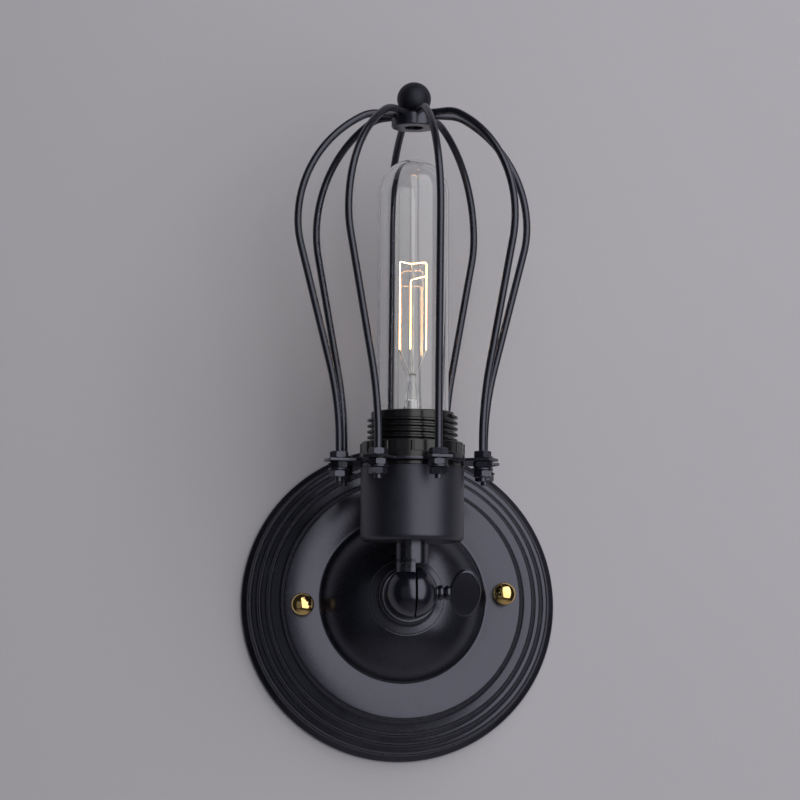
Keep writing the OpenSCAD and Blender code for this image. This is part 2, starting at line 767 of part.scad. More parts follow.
// Upper half of the lampholder: partition, barrel, flange and outer thread.
module holder_body() {
    thread_z = holder_top - thread_in;
    turns = floor((thread_z - foot_top - 1) / holder_pitch);
    color(bakelite) on_head() rotate_extrude() difference() {
        union() {
            translate([0, base_top]) square([base_r, cup_top - base_top]);
            translate([0, cup_top]) square([cup_r, flange_t]);
            translate([0, cup_top]) square([holder_root_r, holder_top - 0.6 - cup_top]);
            translate([0, cup_top]) square([holder_root_r - 0.6, holder_top - cup_top]);
            translate([holder_root_r - 0.6, holder_top - 0.6]) circle(0.6);
            for (k = [0 : turns]) translate([holder_root_r - 0.2, thread_z - k * holder_pitch])
                thread_crest(holder_thread_r - holder_root_r + 0.2);
        }
        translate([0, partition_top]) square([shell_r + shell_t + running, holder_top]);
        translate([0, mouth_z]) square([mouth_r, holder_top]);
        translate([0, base_top - 1]) square([2, partition_t + 2]);
    }
}

module thread_crest(depth) {
    polygon([[0, -1], [depth, -0.35], [depth, 0.35], [0, 1]]);
}

module holder_screws() {
    color(steel) on_head() for (y = [-terminal_r, terminal_r]) translate([0, y, base_top - 4]) {
        cylinder(r = terminal_head_r, h = 4);
        translate([0, 0, -1.6]) cylinder(r = 1.6, h = 2);
    }
}

module screw_shell() {
    color(brass) on_head() translate([0, 0, partition_top]) difference() {
        cylinder(r = shell_r + shell_t, h = shell_h);
        translate([0, 0, -1]) cylinder(r = shell_r, h = shell_h + 2);
    }
}

module centre_contact() {
    color(brass) on_head() translate([0, 0, partition_top]) {
        translate([0, -3, 0]) cube([9, 6, 0.4]);
        cylinder(r = 3, h = contact_t);
        translate([0, 0, -partition_t - 1]) cylinder(r = 1.9, h = partition_t + 1.2);
    }
}

// Ribbed nut that clamps the cage's foot on the lampholder.
module ring_nut() {
    rib_n = 12;
    rib_w = 1.4;
    body_r = ring_nut_d / 2 - 0.7;
    color(bakelite) on_head() translate([0, 0, foot_top]) difference() {
        union() {
            cylinder(r = ring_nut_d / 2, h = ring_nut_foot);
            cylinder(r = body_r, h = ring_nut_h);
            for (i = [0 : rib_n - 1]) rotate([0, 0, i * 360 / rib_n + 84.5])
                translate([body_r - 1, -rib_w / 2, 0]) cube([1.6, rib_w, ring_nut_h - 0.4]);
        }
        translate([0, 0, -1]) cylinder(r = holder_thread_r + 0.1, h = ring_nut_h + 2);
    }
}

// Stamped foot plate with one ear for each wire.
module cage_foot() {
    color(black) on_head() translate([0, 0, flange_top]) difference() {
        union() {
            cylinder(d = foot_d, h = foot_t);
            for (i = [0 : wire_count - 1]) on_wire(i, ear_turn)
                translate([foot_d / 4, -ear_w / 2, 0]) cube([ear_r + ear_tip - foot_d / 4, ear_w, foot_t]);
        }
        translate([0, 0, -1]) cylinder(r = holder_thread_r + 0.2, h = foot_t + 2);
        on_each_ear() translate([0, 0, -1]) cylinder(r = wire_hole_r, h = foot_t + 2);
    }
}

module upper_nuts() {
    color(black) on_head() translate([0, 0, foot_top]) on_each_ear() hex_nut(nut_af, nut_h, wire_hole_r);
}

module lower_nuts() {
    color(black) on_head() translate([0, 0, flange_top - nut_h]) on_each_ear()
        rotate([0, 0, 12]) hex_nut(nut_af, nut_h, wire_hole_r);
}

module ear_washers() {
    color(black) on_head() translate([0, 0, flange_top - nut_h - washer_t]) on_each_ear() difference() {
        cylinder(d = ear_washer_d, h = washer_t);
        translate([0, 0, -1]) cylinder(r = wire_hole_r, h = washer_t + 2);
    }
}

module lock_nuts() {
    color(black) on_head() translate([0, 0, stack_bottom]) on_each_ear()
        rotate([0, 0, -9]) hex_nut(nut_af, nut_h, wire_hole_r);
}

// Part of a wire bent round a centre in its own plane, from angle a to angle b above +X.
// A bend is a hair thicker than the wire that runs into it, and laps over its ends.
module wire_bend(centre, bend_r, a, b, swell = bend_swell) {
    lap = bend_lap / bend_r * 180 / PI;
    translate([centre.x, 0, centre.y]) rotate([90, 0, 0]) rotate([0, 0, a - lap])
        rotate_extrude(angle = b - a + 2 * lap) translate([bend_r, 0]) circle(wire_r + swell);
}

// One cage wire: up from its ear, out over the waist, round the belly and in to the hub.
module cage_wire(i) {
    color(black) on_head() on_wire(i) {
        wire_over_crown();
        translate([belly_at_r, 0, 0]) rotate([0, 0, -sway]) wire_to_ear();
    }
}

// Upper half, in a plane through the lamp's axis.
module wire_over_crown() {
    crown_c = [belly_at_r - crown_r, belly_at_z];
    shoulder_c = crown_c + (crown_r - shoulder_r) * [cos(crown_turn), sin(crown_turn)];
    translate([hub_r - socket_depth, 0, crown_z]) rotate([0, 90, 0])
        cylinder(r = wire_r, h = shoulder_c.x - hub_r + socket_depth);
    wire_bend(shoulder_c, shoulder_r, crown_turn, 90);
    wire_bend(crown_c, crown_r, 0, crown_turn, 2 * bend_swell);
}

// Lower half, in the upright plane from the widest place to the ear. X is 0 at the widest place.
module wire_to_ear() {
    belly_c = [-belly_r, belly_at_z];
    wire_bend(belly_c, belly_r, -taper, 0);
    translate([belly_c.x + belly_r * cos(taper), 0, belly_c.y - belly_r * sin(taper)])
        rotate([0, 180 + taper, 0]) cylinder(r = wire_r, h = straight);
    wire_bend([waist_r - run_in, waist_z], waist_r, 180 - taper, 180);
    translate([-run_in, 0, stack_bottom - wire_end])
        cylinder(r = wire_r, h = waist_z - stack_bottom + wire_end);
}

module cage_wire_1() { cage_wire(0); }
module cage_wire_2() { cage_wire(1); }
module cage_wire_3() { cage_wire(2); }
module cage_wire_4() { cage_wire(3); }
module cage_wire_5() { cage_wire(4); }
module cage_wire_6() { cage_wire(5); }
module cage_wire_7() { cage_wire(6); }
module cage_wire_8() { cage_wire(7); }

// Turned hub that gathers the wires, with a hole underneath and a thread for the ball on top.
module cage_hub() {
    color(black) on_head() translate([0, 0, crown_z]) difference() {
        rotate_extrude() {
            translate([0, -hub_below]) square([hub_r - 0.5, hub_below + hub_above]);
            translate([0, 0.5 - hub_below]) square([hub_r, hub_below + hub_above - 2]);
            translate([hub_r - 0.5, 0.5 - hub_below]) circle(0.5);
            translate([0, hub_above - 1.5]) polygon([[0, 0], [hub_r, 0], [hub_r - 1.2, 1.5], [0, 1.5]]);
        }
        translate([0, 0, -hub_below - 1]) cylinder(d = hub_hole_d, h = hub_below - 2.6);
        translate([0, 0, -hub_below - 1]) cylinder(r = finial_stud_r + running, h = 20);
        for (i = [0 : wire_count - 1]) on_wire(i) translate([hub_r - socket_depth - running, 0, 0])
            rotate([0, 90, 0]) cylinder(r = wire_hole_r, h = socket_depth + 2);
    }
}

module finial() {
    color(black) on_head() {
        difference() {
            translate([0, 0, finial_z]) sphere(finial_d / 2);
            translate([0, 0, crown_z + hub_above - finial_d]) cylinder(r = finial_d, h = finial_d);
        }
        translate([0, 0, crown_z - 3]) cylinder(r = finial_stud_r, h = finial_z - crown_z + 3);
    }
}

// Tubular glass with a round top, drawn in at the bottom to fit the cap.
module bulb_glass() {
    color(glass) on_head() translate([0, 0, contact_z]) rotate_extrude() difference() {
        glass_outline(0);
        glass_outline(glass_t);
    }
}

module glass_outline(s) {
    neck = glass_neck_r - s;
    low = cap_h - 6 + (s > 0 ? -1 : 0);
    turn_z = cap_h + shoulder_h + running;
    translate([0, low]) square([neck, turn_z - low + 1]);
    translate([0, turn_z]) square([bulb_r - s, bulb_len - bulb_r - turn_z]);
    intersection() {
        translate([bulb_r - shoulder_h, turn_z]) circle(shoulder_h - s);
        square([bulb_r, turn_z + 1]);
    }
    intersection() {
        translate([0, bulb_len - bulb_r]) circle(bulb_r - s);
        translate([0, bulb_len - bulb_r - 1]) square([bulb_r, bulb_r + 2]);
    }
}

// Screw cap with rounded turns.
module bulb_cap() {
    low = contact_z + insulator_h;
    turn_pitch = 3.6;
    color(brass) on_head() rotate_extrude() difference() {
        union() {
            translate([0, low]) square([cap_root_r, cap_h - insulator_h]);
            for (k = [0 : 4]) translate([cap_r - 1, low + 2.2 + k * turn_pitch]) circle(1);
            translate([0, cap_top - 3]) square([cap_root_r + 0.2, 3]);
        }
        translate([0, low - 1]) square([cap_lip_r, 3]);
        translate([0, low + cap_sheet]) square([cap_root_r - cap_sheet, cap_h]);
    }
}

module cap_insulator() {
    z = contact_z + contact_h;
    color("darkslategray") on_head() rotate_extrude() difference() {
        polygon([[0, z], [4.6, z], [cap_lip_r - running, z + 2.4], [cap_lip_r - running, z + 3.6],
            [0, z + 3.6]]);
        translate([0, z - 1]) square([1.2, 8]);
    }
}

module cap_contact() {
    color(steel) on_head() translate([0, 0, contact_z]) {
        cylinder(r1 = 3.6, r2 = 4.5, h = contact_h);
        cylinder(r = 1, h = contact_h + 3);
    }
}

// Glass stem that carries the lead wires: flare, press and button.
module lamp_stem() {
    color(glass) on_head() translate([0, 0, contact_z]) {
        rotate_extrude() difference() {
            polygon([[0, cap_h - 4.5], [glass_neck_r - glass_t - running, cap_h - 4.5],
                [glass_neck_r - glass_t - running, cap_h - 3.5], [4, cap_h + 6], [3.2, cap_h + 14],
                [2.2, cap_h + 20], [0, cap_h + 20]]);
            polygon([[0, cap_h - 6], [glass_neck_r - 2.2, cap_h - 6], [3.1, cap_h + 6], [2.2, cap_h + 11],
                [0, cap_h + 11]]);
        }
        translate([0, 0, button_z - contact_z]) sphere(button_r);
    }
}

filament_z = contact_z + filament_up;
filament_top = filament_z + filament_h;

// Corner k of the filament's ring, numbered round the lamp, at height z, and taken inwards by in.
function leg(k, z, in = 0) = [(filament_r - in) * cos(filament_turn + 90 * k),
    (filament_r - in) * sin(filament_turn + 90 * k), z];

module lead_wires() {
    color(steel) on_head() for (k = [0, 2]) {
        d = leg(k, 0) / filament_r;
        lead([d * 1.4 + [0, 0, stem_top + 1.2], leg(k, filament_z - 0.3)], lead_r);
    }
}

// Support hooks that hold the upper bends of the filament.
module filament_hooks() {
    color(steel) on_head() {
        lead([[0, 0, button_z + button_r], [0, 0, filament_top - 4]], lead_r * 0.8);
        for (k = [0 : 3])
            lead([[0, 0, filament_top - 4], leg(k, filament_top - 0.4, filament_wire_r + hook_r)], hook_r);
    }
}

module filament() {
    color("orange") on_head() {
        lead([leg(0, filament_z), leg(0, filament_top), leg(1, filament_top), leg(2, filament_top),
            leg(2, filament_z)], filament_wire_r);
        lead([leg(1, filament_z + 1), leg(1, filament_top - 7), leg(0, filament_top - 6)], filament_wire_r);
    }
}

canopy();
wall_strap();
strap_studs();
stud_nuts();
cap_nuts();
earth_screw();
terminal_block();
terminal_screws();
supply_leads();
canopy_tube();
canopy_nut();
canopy_washer();
collar();
swivel_base();
swivel_head();
wave_washer();
wing_screw();
head_tube();
head_leads();
socket_cup();
holder_base();
holder_body();
holder_screws();
screw_shell();
centre_contact();
ring_nut();
cage_foot();
upper_nuts();
lower_nuts();
ear_washers();
lock_nuts();
cage_wire_1();
cage_wire_2();
cage_wire_3();
cage_wire_4();
cage_wire_5();
cage_wire_6();
cage_wire_7();
cage_wire_8();
cage_hub();
finial();
bulb_glass();
bulb_cap();
cap_insulator();
cap_contact();
lamp_stem();
lead_wires();
filament_hooks();
filament();
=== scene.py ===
import json
import math

import bmesh
import bpy
from mathutils import Matrix, Vector


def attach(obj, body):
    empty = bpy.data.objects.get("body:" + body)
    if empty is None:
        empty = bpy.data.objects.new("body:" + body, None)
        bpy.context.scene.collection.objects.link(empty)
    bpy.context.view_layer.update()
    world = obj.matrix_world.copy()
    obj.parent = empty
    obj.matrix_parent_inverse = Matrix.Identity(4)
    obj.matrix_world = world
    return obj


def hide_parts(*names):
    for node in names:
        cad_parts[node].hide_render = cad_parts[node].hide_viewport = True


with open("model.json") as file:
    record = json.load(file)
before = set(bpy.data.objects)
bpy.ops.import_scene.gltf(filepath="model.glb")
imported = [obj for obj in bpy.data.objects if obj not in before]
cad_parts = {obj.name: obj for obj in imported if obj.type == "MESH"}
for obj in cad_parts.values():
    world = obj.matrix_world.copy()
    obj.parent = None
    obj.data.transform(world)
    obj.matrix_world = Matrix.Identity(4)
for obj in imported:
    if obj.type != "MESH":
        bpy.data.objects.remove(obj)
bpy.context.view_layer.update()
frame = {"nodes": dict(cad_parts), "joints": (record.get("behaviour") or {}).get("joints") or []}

mm = 0.001
joints = {joint["name"]: joint for joint in frame["joints"]}
swivel = Vector(joints["head_tilt"]["pos_m"])
lampAxis = Vector(joints["bulb_turn"]["axis"])
headLean = math.atan2(-lampAxis.y, lampAxis.z)
# everything on the lamp head is made upright round its own axis, then leaned forward at the swivel
headPlace = Matrix.Translation(swivel) @ Matrix.Rotation(headLean, 4, "X")
# everything on the canopy is made lying on the floor, then stood against the wall
wallPlace = Matrix.Rotation(math.radians(90), 4, "X")
print("frame read, lamp head leans", round(math.degrees(headLean), 2), "degrees")


# ---------- camera, wall, floor and lights

view = {"place": (-0.11638, -1.20388, -0.09832), "turn": 5.57, "rise": 8.96, "lens": 121.9}
room = {"wall": 3.6, "floorDepth": 3.6, "floorZ": -1.5, "wallBehind": 0.0006}
keyLight = {"place": (0.44, -1.05, 0.30), "target": (0, -0.05, 0.02), "size": (1.5, 2.3), "power": 18.9,
            "colour": (1.0, 0.99, 0.98)}
fillLight = {"place": (-0.80, -1.35, -0.1), "target": (0, -0.05, 0.05), "size": (1.1, 1.5), "power": 0.7,
             "colour": (0.92, 0.95, 1.0)}
roomLight = {"colour": (0.9, 0.92, 1.0, 1), "strength": 0.02}


def addCamera():
    data = bpy.data.cameras.new("photoView")
    data.lens = view["lens"]
    data.sensor_width = 36
    data.clip_start = 0.01
    camera = bpy.data.objects.new("photoView", data)
    camera.location = view["place"]
    camera.rotation_euler = (math.radians(90 + view["rise"]), 0, math.radians(-view["turn"]))
    bpy.context.scene.collection.objects.link(camera)
    bpy.context.scene.camera = camera


def addObject(name, mesh):
    item = bpy.data.objects.new(name, mesh)
    bpy.context.scene.collection.objects.link(item)
    return item


def flatSheet(name, corners):
    mesh = bpy.data.meshes.new(name)
    mesh.from_pydata(corners, [], [(0, 1, 2, 3)])
    return addObject(name, mesh)


def addSoftbox(name, place, target, size, power, colour):
    data = bpy.data.lights.new(name, "AREA")
    data.shape = "RECTANGLE"
    data.size, data.size_y = size
    data.energy = power
    data.color = colour
    lamp = bpy.data.objects.new(name, data)
    lamp.location = place
    aim = Vector(target) - Vector(place)
    lamp.rotation_euler = aim.to_track_quat("-Z", "Y").to_euler()
    lamp.visible_camera = False
    bpy.context.scene.collection.objects.link(lamp)


# ---------- node helpers

class Pin:
    # a node's output that can be used in ordinary arithmetic
    def __init__(self, bench, socket):
        self.bench = bench
        self.socket = socket

    def maths(self, operation, first, second):
        return self.bench.add("ShaderNodeMath", {"operation": operation}, {0: first, 1: second})

    def __add__(self, other):
        return self.maths("ADD", self, other)

    def __radd__(self, other):
        return self.maths("ADD", other, self)

    def __sub__(self, other):
        return self.maths("SUBTRACT", self, other)

    def __rsub__(self, other):
        return self.maths("SUBTRACT", other, self)

    def __mul__(self, other):
        return self.maths("MULTIPLY", self, other)

    def __rmul__(self, other):
        return self.maths("MULTIPLY", other, self)

    def __truediv__(self, other):
        return self.maths("DIVIDE", self, other)

    def __rtruediv__(self, other):
        return self.maths("DIVIDE", other, self)


class Bench:
    # adds nodes to one tree: type, settings first, then values or links of its sockets
    def __init__(self, tree):
        self.tree = tree
        tree.nodes.clear()

    def add(self, kind, settings=None, sockets=None, out=0):
        node = self.tree.nodes.new(kind)
        for name, value in (settings or {}).items():
            if name == "stops":
                self.fillRamp(node.color_ramp, value)
            else:
                setattr(node, name, value)
        for name, value in (sockets or {}).items():
            if isinstance(value, Pin):
                self.tree.links.new(value.socket, node.inputs[name])
            else:
                node.inputs[name].default_value = value
        return Pin(self, node.outputs[out]) if len(node.outputs) else node

    def fillRamp(self, ramp, stops):
        while len(ramp.elements) > 1:
            ramp.elements.remove(ramp.elements[0])
        for index, (place, grey) in enumerate(stops):
            element = ramp.elements[0] if index == 0 else ramp.elements.new(place)
            element.position = place
            element.color = (grey, grey, grey, 1)

    def blend(self, mask, first, second):
        sockets = {0: mask, 6: first, 7: second}
        return self.add("ShaderNodeMix", {"data_type": "RGBA"}, sockets, out=2)

    def objectPlace(self):
        return self.add("ShaderNodeTexCoord", out=3)

    def noise(self, scale, detail=3.0, roughness=0.5, stretch=None):
        place = self.objectPlace()
        if stretch:
            place = self.add("ShaderNodeMapping", sockets={"Vector": place, "Scale": stretch})
        sockets = {"Vector": place, "Scale": scale, "Detail": detail, "Roughness": roughness}
        return self.add("ShaderNodeTexNoise", sockets=sockets)

    def ramp(self, value, stops):
        return self.add("ShaderNodeValToRGB", {"stops": stops}, {"Fac": value})

    def bump(self, height, strength, distance):
        sockets = {"Height": height, "Strength": strength, "Distance": distance}
        return self.add("ShaderNodeBump", sockets=sockets)


def newFinish(name):
    material = bpy.data.materials.new(name)
    material.use_nodes = True
    return material, Bench(material.node_tree)


def closeFinish(bench, surface):
    bench.add("ShaderNodeOutputMaterial", sockets={"Surface": surface})


def colour(red, green, blue):
    return (red, green, blue, 1)


# ---------- finishes

def paintFinish(name, look):
    # sprayed paint: orange peel, faint clouds in colour and gloss, worn edges
    material, bench = newFinish(name)
    peel = bench.noise(look["peelScale"], 2.0, 0.45)
    grit = bench.noise(look["gritScale"], 1.0, 0.5)
    cloud = bench.ramp(bench.noise(look["cloudScale"], 4.0, 0.6), [(0.32, 0), (0.68, 1)])
    edge = bench.add("ShaderNodeNewGeometry", out=7)
    edge = bench.ramp(edge, [(0.52, 0), (0.60, 1)])
    rub = edge * bench.ramp(bench.noise(look["rubScale"]), [(0.45, 0), (0.6, 1)])
    body = bench.blend(cloud, look["dark"], look["light"])
    body = bench.blend(rub * look["rub"], body, look["worn"])
    roughness = cloud * look["gloss"] + look["roughness"] + grit * look["grit"]
    bump = bench.bump(peel + grit * look["gritHeight"], look["peelStrength"], look["peelDepth"])
    sockets = {"Base Color": body, "Roughness": roughness, "Normal": bump,
               "Specular IOR Level": look["specular"], "Specular Tint": look["sheen"]}
    closeFinish(bench, bench.add("ShaderNodeBsdfPrincipled", sockets=sockets))
    return material


def metalFinish(name, look):
    # plated or polished metal with fine scratches and a slight tarnish
    material, bench = newFinish(name)
    scratch = bench.noise(look["scratchScale"], 6.0, 0.7, look["scratchStretch"])
    cloud = bench.ramp(bench.noise(look["cloudScale"], 3.0, 0.55), [(0.35, 0), (0.7, 1)])
    body = bench.blend(cloud, look["bright"], look["dull"])
    roughness = look["roughness"] + cloud * look["tarnish"] + scratch * look["scratchGloss"]
    bump = bench.bump(scratch, look["scratchStrength"], look["scratchDepth"])
    sockets = {"Base Color": body, "Roughness": roughness, "Normal": bump, "Metallic": 1.0}
    closeFinish(bench, bench.add("ShaderNodeBsdfPrincipled", sockets=sockets))
    return material


def mouldedFinish(name, look):
    # moulded plastic or resin: smooth skin with faint flow marks
    material, bench = newFinish(name)
    flow = bench.noise(look["flowScale"], 3.0, 0.5, look["flowStretch"])
    grain = bench.noise(look["grainScale"], 2.0, 0.5)
    body = bench.blend(bench.ramp(flow, [(0.3, 0), (0.75, 1)]), look["dark"], look["light"])
    roughness = look["roughness"] + flow * look["gloss"]
    bump = bench.bump(grain + flow, look["strength"], look["depth"])
    sockets = {"Base Color": body, "Roughness": roughness, "Normal": bump}
    closeFinish(bench, bench.add("ShaderNodeBsdfPrincipled", sockets=sockets))
    return material


def glassFinish(name, look):
    # drawn tube glass: clear, with faint streaks along it
    material, bench = newFinish(name)
    streak = bench.noise(look["streakScale"], 2.0, 0.5, look["streakStretch"])
    bump = bench.bump(streak, look["strength"], look["depth"])
    sockets = {"Base Color": look["tint"], "Roughness": streak * look["haze"], "Normal": bump,
               "Transmission Weight": 1.0, "IOR": look["ior"]}
    closeFinish(bench, bench.add("ShaderNodeBsdfPrincipled", sockets=sockets))
    return material


def glowFinish(name, look):
    # hot wire: its glow shifts between a cooler and a hotter orange in a noise pattern
    material, bench = newFinish(name)
    heat = bench.ramp(bench.noise(look["heatScale"], 2.0, 0.5), [(0.3, 0), (0.7, 1)])
    glow = bench.blend(heat, look["cool"], look["hot"])
    sockets = {"Base Color": look["cool"], "Roughness": 0.5, "Emission Color": glow,
               "Emission Strength": look["strength"]}
    closeFinish(bench, bench.add("ShaderNodeBsdfPrincipled", sockets=sockets))
    return material


blackPaint = {"dark": colour(0.0034, 0.0038, 0.0066), "light": colour(0.0058, 0.0064, 0.0105),
              "worn": colour(0.10, 0.10, 0.105), "rub": 0.25, "rubScale": 900.0, "cloudScale": 60.0,
              "peelScale": 900.0, "gritScale": 3800.0, "peelStrength": 0.35, "peelDepth": 0.00004,
              "gritHeight": 0.35, "roughness": 0.21, "gloss": 0.06, "grit": 0.06, "specular": 0.9,
              "sheen": colour(0.80, 0.815, 1.0)}
cupPaint = dict(blackPaint, roughness=0.33, grit=0.12, gritHeight=0.9, peelStrength=0.4,
                light=colour(0.0075, 0.0079, 0.0125))
finialPaint = dict(blackPaint, specular=0.4, roughness=0.42, grit=0.15, gritHeight=1.2, peelStrength=0.5)
swivelPaint = dict(blackPaint, roughness=0.18, grit=0.03, gloss=0.05)
bakelite = {"dark": colour(0.006, 0.006, 0.007), "light": colour(0.011, 0.011, 0.013), "flowScale": 160.0,
            "flowStretch": (1, 1, 0.25), "grainScale": 2400.0, "roughness": 0.13, "gloss": 0.10,
            "strength": 0.15, "depth": 0.0002}
polishedBrass = {"bright": colour(0.90, 0.66, 0.30), "dull": colour(0.78, 0.52, 0.20), "cloudScale": 250.0,
                 "scratchScale": 700.0, "scratchStretch": (1, 1, 6), "roughness": 0.03, "tarnish": 0.05,
                 "scratchGloss": 0.04, "scratchStrength": 0.05, "scratchDepth": 0.0001}
zincPlate = {"bright": colour(0.62, 0.62, 0.60), "dull": colour(0.46, 0.47, 0.48), "cloudScale": 120.0,
             "scratchScale": 900.0, "scratchStretch": (8, 1, 1), "roughness": 0.28, "tarnish": 0.16,
             "scratchGloss": 0.12, "scratchStrength": 0.2, "scratchDepth": 0.0001}
whiteNylon = {"dark": colour(0.66, 0.64, 0.58), "light": colour(0.78, 0.77, 0.72), "flowScale": 120.0,
              "flowStretch": (1, 1, 0.4), "grainScale": 2600.0, "roughness": 0.42, "gloss": 0.1,
              "strength": 0.2, "depth": 0.0002}
leadCover = {"dark": colour(0.10, 0.04, 0.02), "light": colour(0.16, 0.07, 0.03), "flowScale": 200.0,
             "flowStretch": (1, 4, 1), "grainScale": 2600.0, "roughness": 0.38, "gloss": 0.12,
             "strength": 0.15, "depth": 0.0002}
capBlack = dict(bakelite, roughness=0.2)
clearGlass = {"tint": colour(0.985, 0.99, 0.99), "streakScale": 120.0, "streakStretch": (1, 1, 0.05),
              "haze": 0.02, "strength": 0.05, "depth": 0.0002, "ior": 1.47}
hotWire = {"cool": colour(1.0, 0.42, 0.10), "hot": colour(1.0, 0.66, 0.30), "heatScale": 90.0,
           "strength": 14.0}


def plainFinish(name, look):
    # wall or floor: even colour with a faint roller texture, see-through from behind
    material, bench = newFinish(name)
    roller = bench.noise(look["rollerScale"], 3.0, 0.6)
    cloud = bench.ramp(bench.noise(look["cloudScale"]), [(0.3, 0), (0.7, 1)])
    shade = bench.blend(cloud, look["dark"], look["light"])
    bump = bench.bump(roller, look["strength"], look["depth"])
    sockets = {"Base Color": shade, "Roughness": look["roughness"], "Normal": bump}
    front = bench.add("ShaderNodeBsdfPrincipled", sockets=sockets)
    back = bench.add("ShaderNodeNewGeometry", out=6)
    clear = bench.add("ShaderNodeBsdfTransparent")
    closeFinish(bench, bench.add("ShaderNodeMixShader", sockets={0: back, 1: front, 2: clear}))
    return material


wallPaint = {"dark": colour(0.465, 0.455, 0.495), "light": colour(0.485, 0.475, 0.515), "rollerScale": 700.0,
             "cloudScale": 2.0, "strength": 0.1, "depth": 0.0004, "roughness": 0.85}
floorPaint = dict(wallPaint, dark=colour(0.58, 0.57, 0.58), light=colour(0.62, 0.61, 0.62))

finishes = {
    "blackPaint": paintFinish("blackPaint", blackPaint),
    "cupPaint": paintFinish("cupPaint", cupPaint),
    "finialPaint": paintFinish("finialPaint", finialPaint),
    "swivelPaint": paintFinish("swivelPaint", swivelPaint),
    "bakelite": mouldedFinish("bakelite", bakelite),
    "brass": metalFinish("brass", polishedBrass),
    "zinc": metalFinish("zinc", zincPlate),
    "whiteNylon": mouldedFinish("whiteNylon", whiteNylon),
    "leadCover": mouldedFinish("leadCover", leadCover),
    "capBlack": mouldedFinish("capBlack", capBlack),
    "clearGlass": glassFinish("clearGlass", clearGlass),
    "hotWire": glowFinish("hotWire", hotWire),
    "wallPaint": plainFinish("wallPaint", wallPaint),
    "floorPaint": plainFinish("floorPaint", floorPaint)}
print("finishes made:", len(finishes))


# ---------- shapes

def arcPoints(centre, radius, start, stop, steps):
    # points of an arc in degrees, as (radius from the axis, height)
    points = []
    for step in range(steps + 1):
        angle = math.radians(start + (stop - start) * step / steps)
        points.append((centre[0] + radius * math.cos(angle), centre[1] + radius * math.sin(angle)))
    return points


def toAxis(points):
    # ends an outline exactly on the axis, so that its pole closes
    return points[:-1] + [(0, points[-1][1])]


def roundedOutline(corners, steps=6):
    # corners are (radius, height) or (radius, height, rounding); each rounding becomes an arc,
    # with one more point a little way along each flat, so that flats are shaded flat
    outline = []
    for index, corner in enumerate(corners):
        here = Vector(corner[:2])
        rounding = corner[2] if len(corner) > 2 else 0
        if not rounding:
            outline.append(tuple(here))
            continue
        before = Vector(corners[index - 1][:2]) - here
        after = Vector(corners[(index + 1) % len(corners)][:2]) - here
        half = before.angle(after) / 2
        reach = rounding / math.tan(half)
        beyond = reach + min(0.12, rounding * 0.2)
        middle = here + (before.normalized() + after.normalized()).normalized() * rounding / math.sin(half)
        first = here + before.normalized() * reach - middle
        last = here + after.normalized() * reach - middle
        outline.append(tuple(here + before.normalized() * beyond))
        for step in range(steps + 1):
            outline.append(tuple(middle + first.slerp(last, step / steps).normalized() * rounding))
        outline.append(tuple(here + after.normalized() * beyond))
    return outline


def circlesMeet(first, firstRadius, second, secondRadius):
    # the point at the left of the line from first to second where two circles meet
    apart = second - first
    along = (firstRadius ** 2 - secondRadius ** 2 + apart.length_squared) / (2 * apart.length)
    across = math.sqrt(firstRadius ** 2 - along ** 2)
    way = apart.normalized()
    return first + way * along + Vector((-way.y, way.x)) * across


def turned(name, outline, place, around=128, sharp=35.0):
    # lathes a closed outline of (radius, height) in millimetres round the local Z axis
    mesh = bpy.data.meshes.new(name)
    work = bmesh.new()
    rings = []
    for step in range(around):
        angle = 2 * math.pi * step / around
        ring = []
        for radius, height in outline:
            spot = (radius * math.cos(angle) * mm, radius * math.sin(angle) * mm, height * mm)
            ring.append(work.verts.new(spot))
        rings.append(ring)
    count = len(outline)
    for step in range(around):
        here, there = rings[step], rings[(step + 1) % around]
        for index in range(count):
            after = (index + 1) % count
            if outline[index][0] < 1e-6 and outline[after][0] < 1e-6:
                continue
            work.faces.new((here[index], there[index], there[after], here[after]))
    bmesh.ops.remove_doubles(work, verts=work.verts, dist=1e-7)
    bmesh.ops.recalc_face_normals(work, faces=work.faces)
    work.to_mesh(mesh)
    work.free()
    mesh.transform(place)
    smoothMesh(mesh, sharp)
    return addObject(name, mesh)


def rod(name, radius, start, stop, place):
    return turned(name, [(0, start), (radius, start), (radius, stop), (0, stop)], place)


def smoothMesh(mesh, sharp):
    mesh.polygons.foreach_set("use_smooth", [True] * len(mesh.polygons))
    mesh.set_sharp_from_angle(angle=math.radians(sharp))
    mesh.update()


def stacked(name, rings, place, sharp=35.0, hollow=False):
    # skins rings of points in millimetres; the ends are closed, or a hollow piece runs round on itself
    work = bmesh.new()
    made = [[work.verts.new(Vector(spot) * mm) for spot in ring] for ring in rings]
    pairs = list(zip(made, made[1:]))
    if hollow:
        pairs.append((made[-1], made[0]))
    else:
        for ring in (made[0], made[-1]):
            middle = work.verts.new(sum((vert.co for vert in ring), Vector()) / len(ring))
            for here, there in zip(ring, ring[1:] + ring[:1]):
                work.faces.new((middle, here, there))
    for below, above in pairs:
        for step in range(len(below)):
            after = (step + 1) % len(below)
            work.faces.new((below[step], below[after], above[after], above[step]))
    bmesh.ops.recalc_face_normals(work, faces=work.faces)
    mesh = bpy.data.meshes.new(name)
    work.to_mesh(mesh)
    work.free()
    mesh.transform(place)
    smoothMesh(mesh, sharp)
    return addObject(name, mesh)


def keptShape(item, name, sharp=35.0):
    # the object with its modifiers applied, as a plain mesh
    graph = bpy.context.evaluated_depsgraph_get()
    mesh = bpy.data.meshes.new_from_object(item.evaluated_get(graph))
    item.modifiers.clear()
    bpy.data.objects.remove(item)
    mesh.name = name
    smoothMesh(mesh, sharp)
    return addObject(name, mesh)


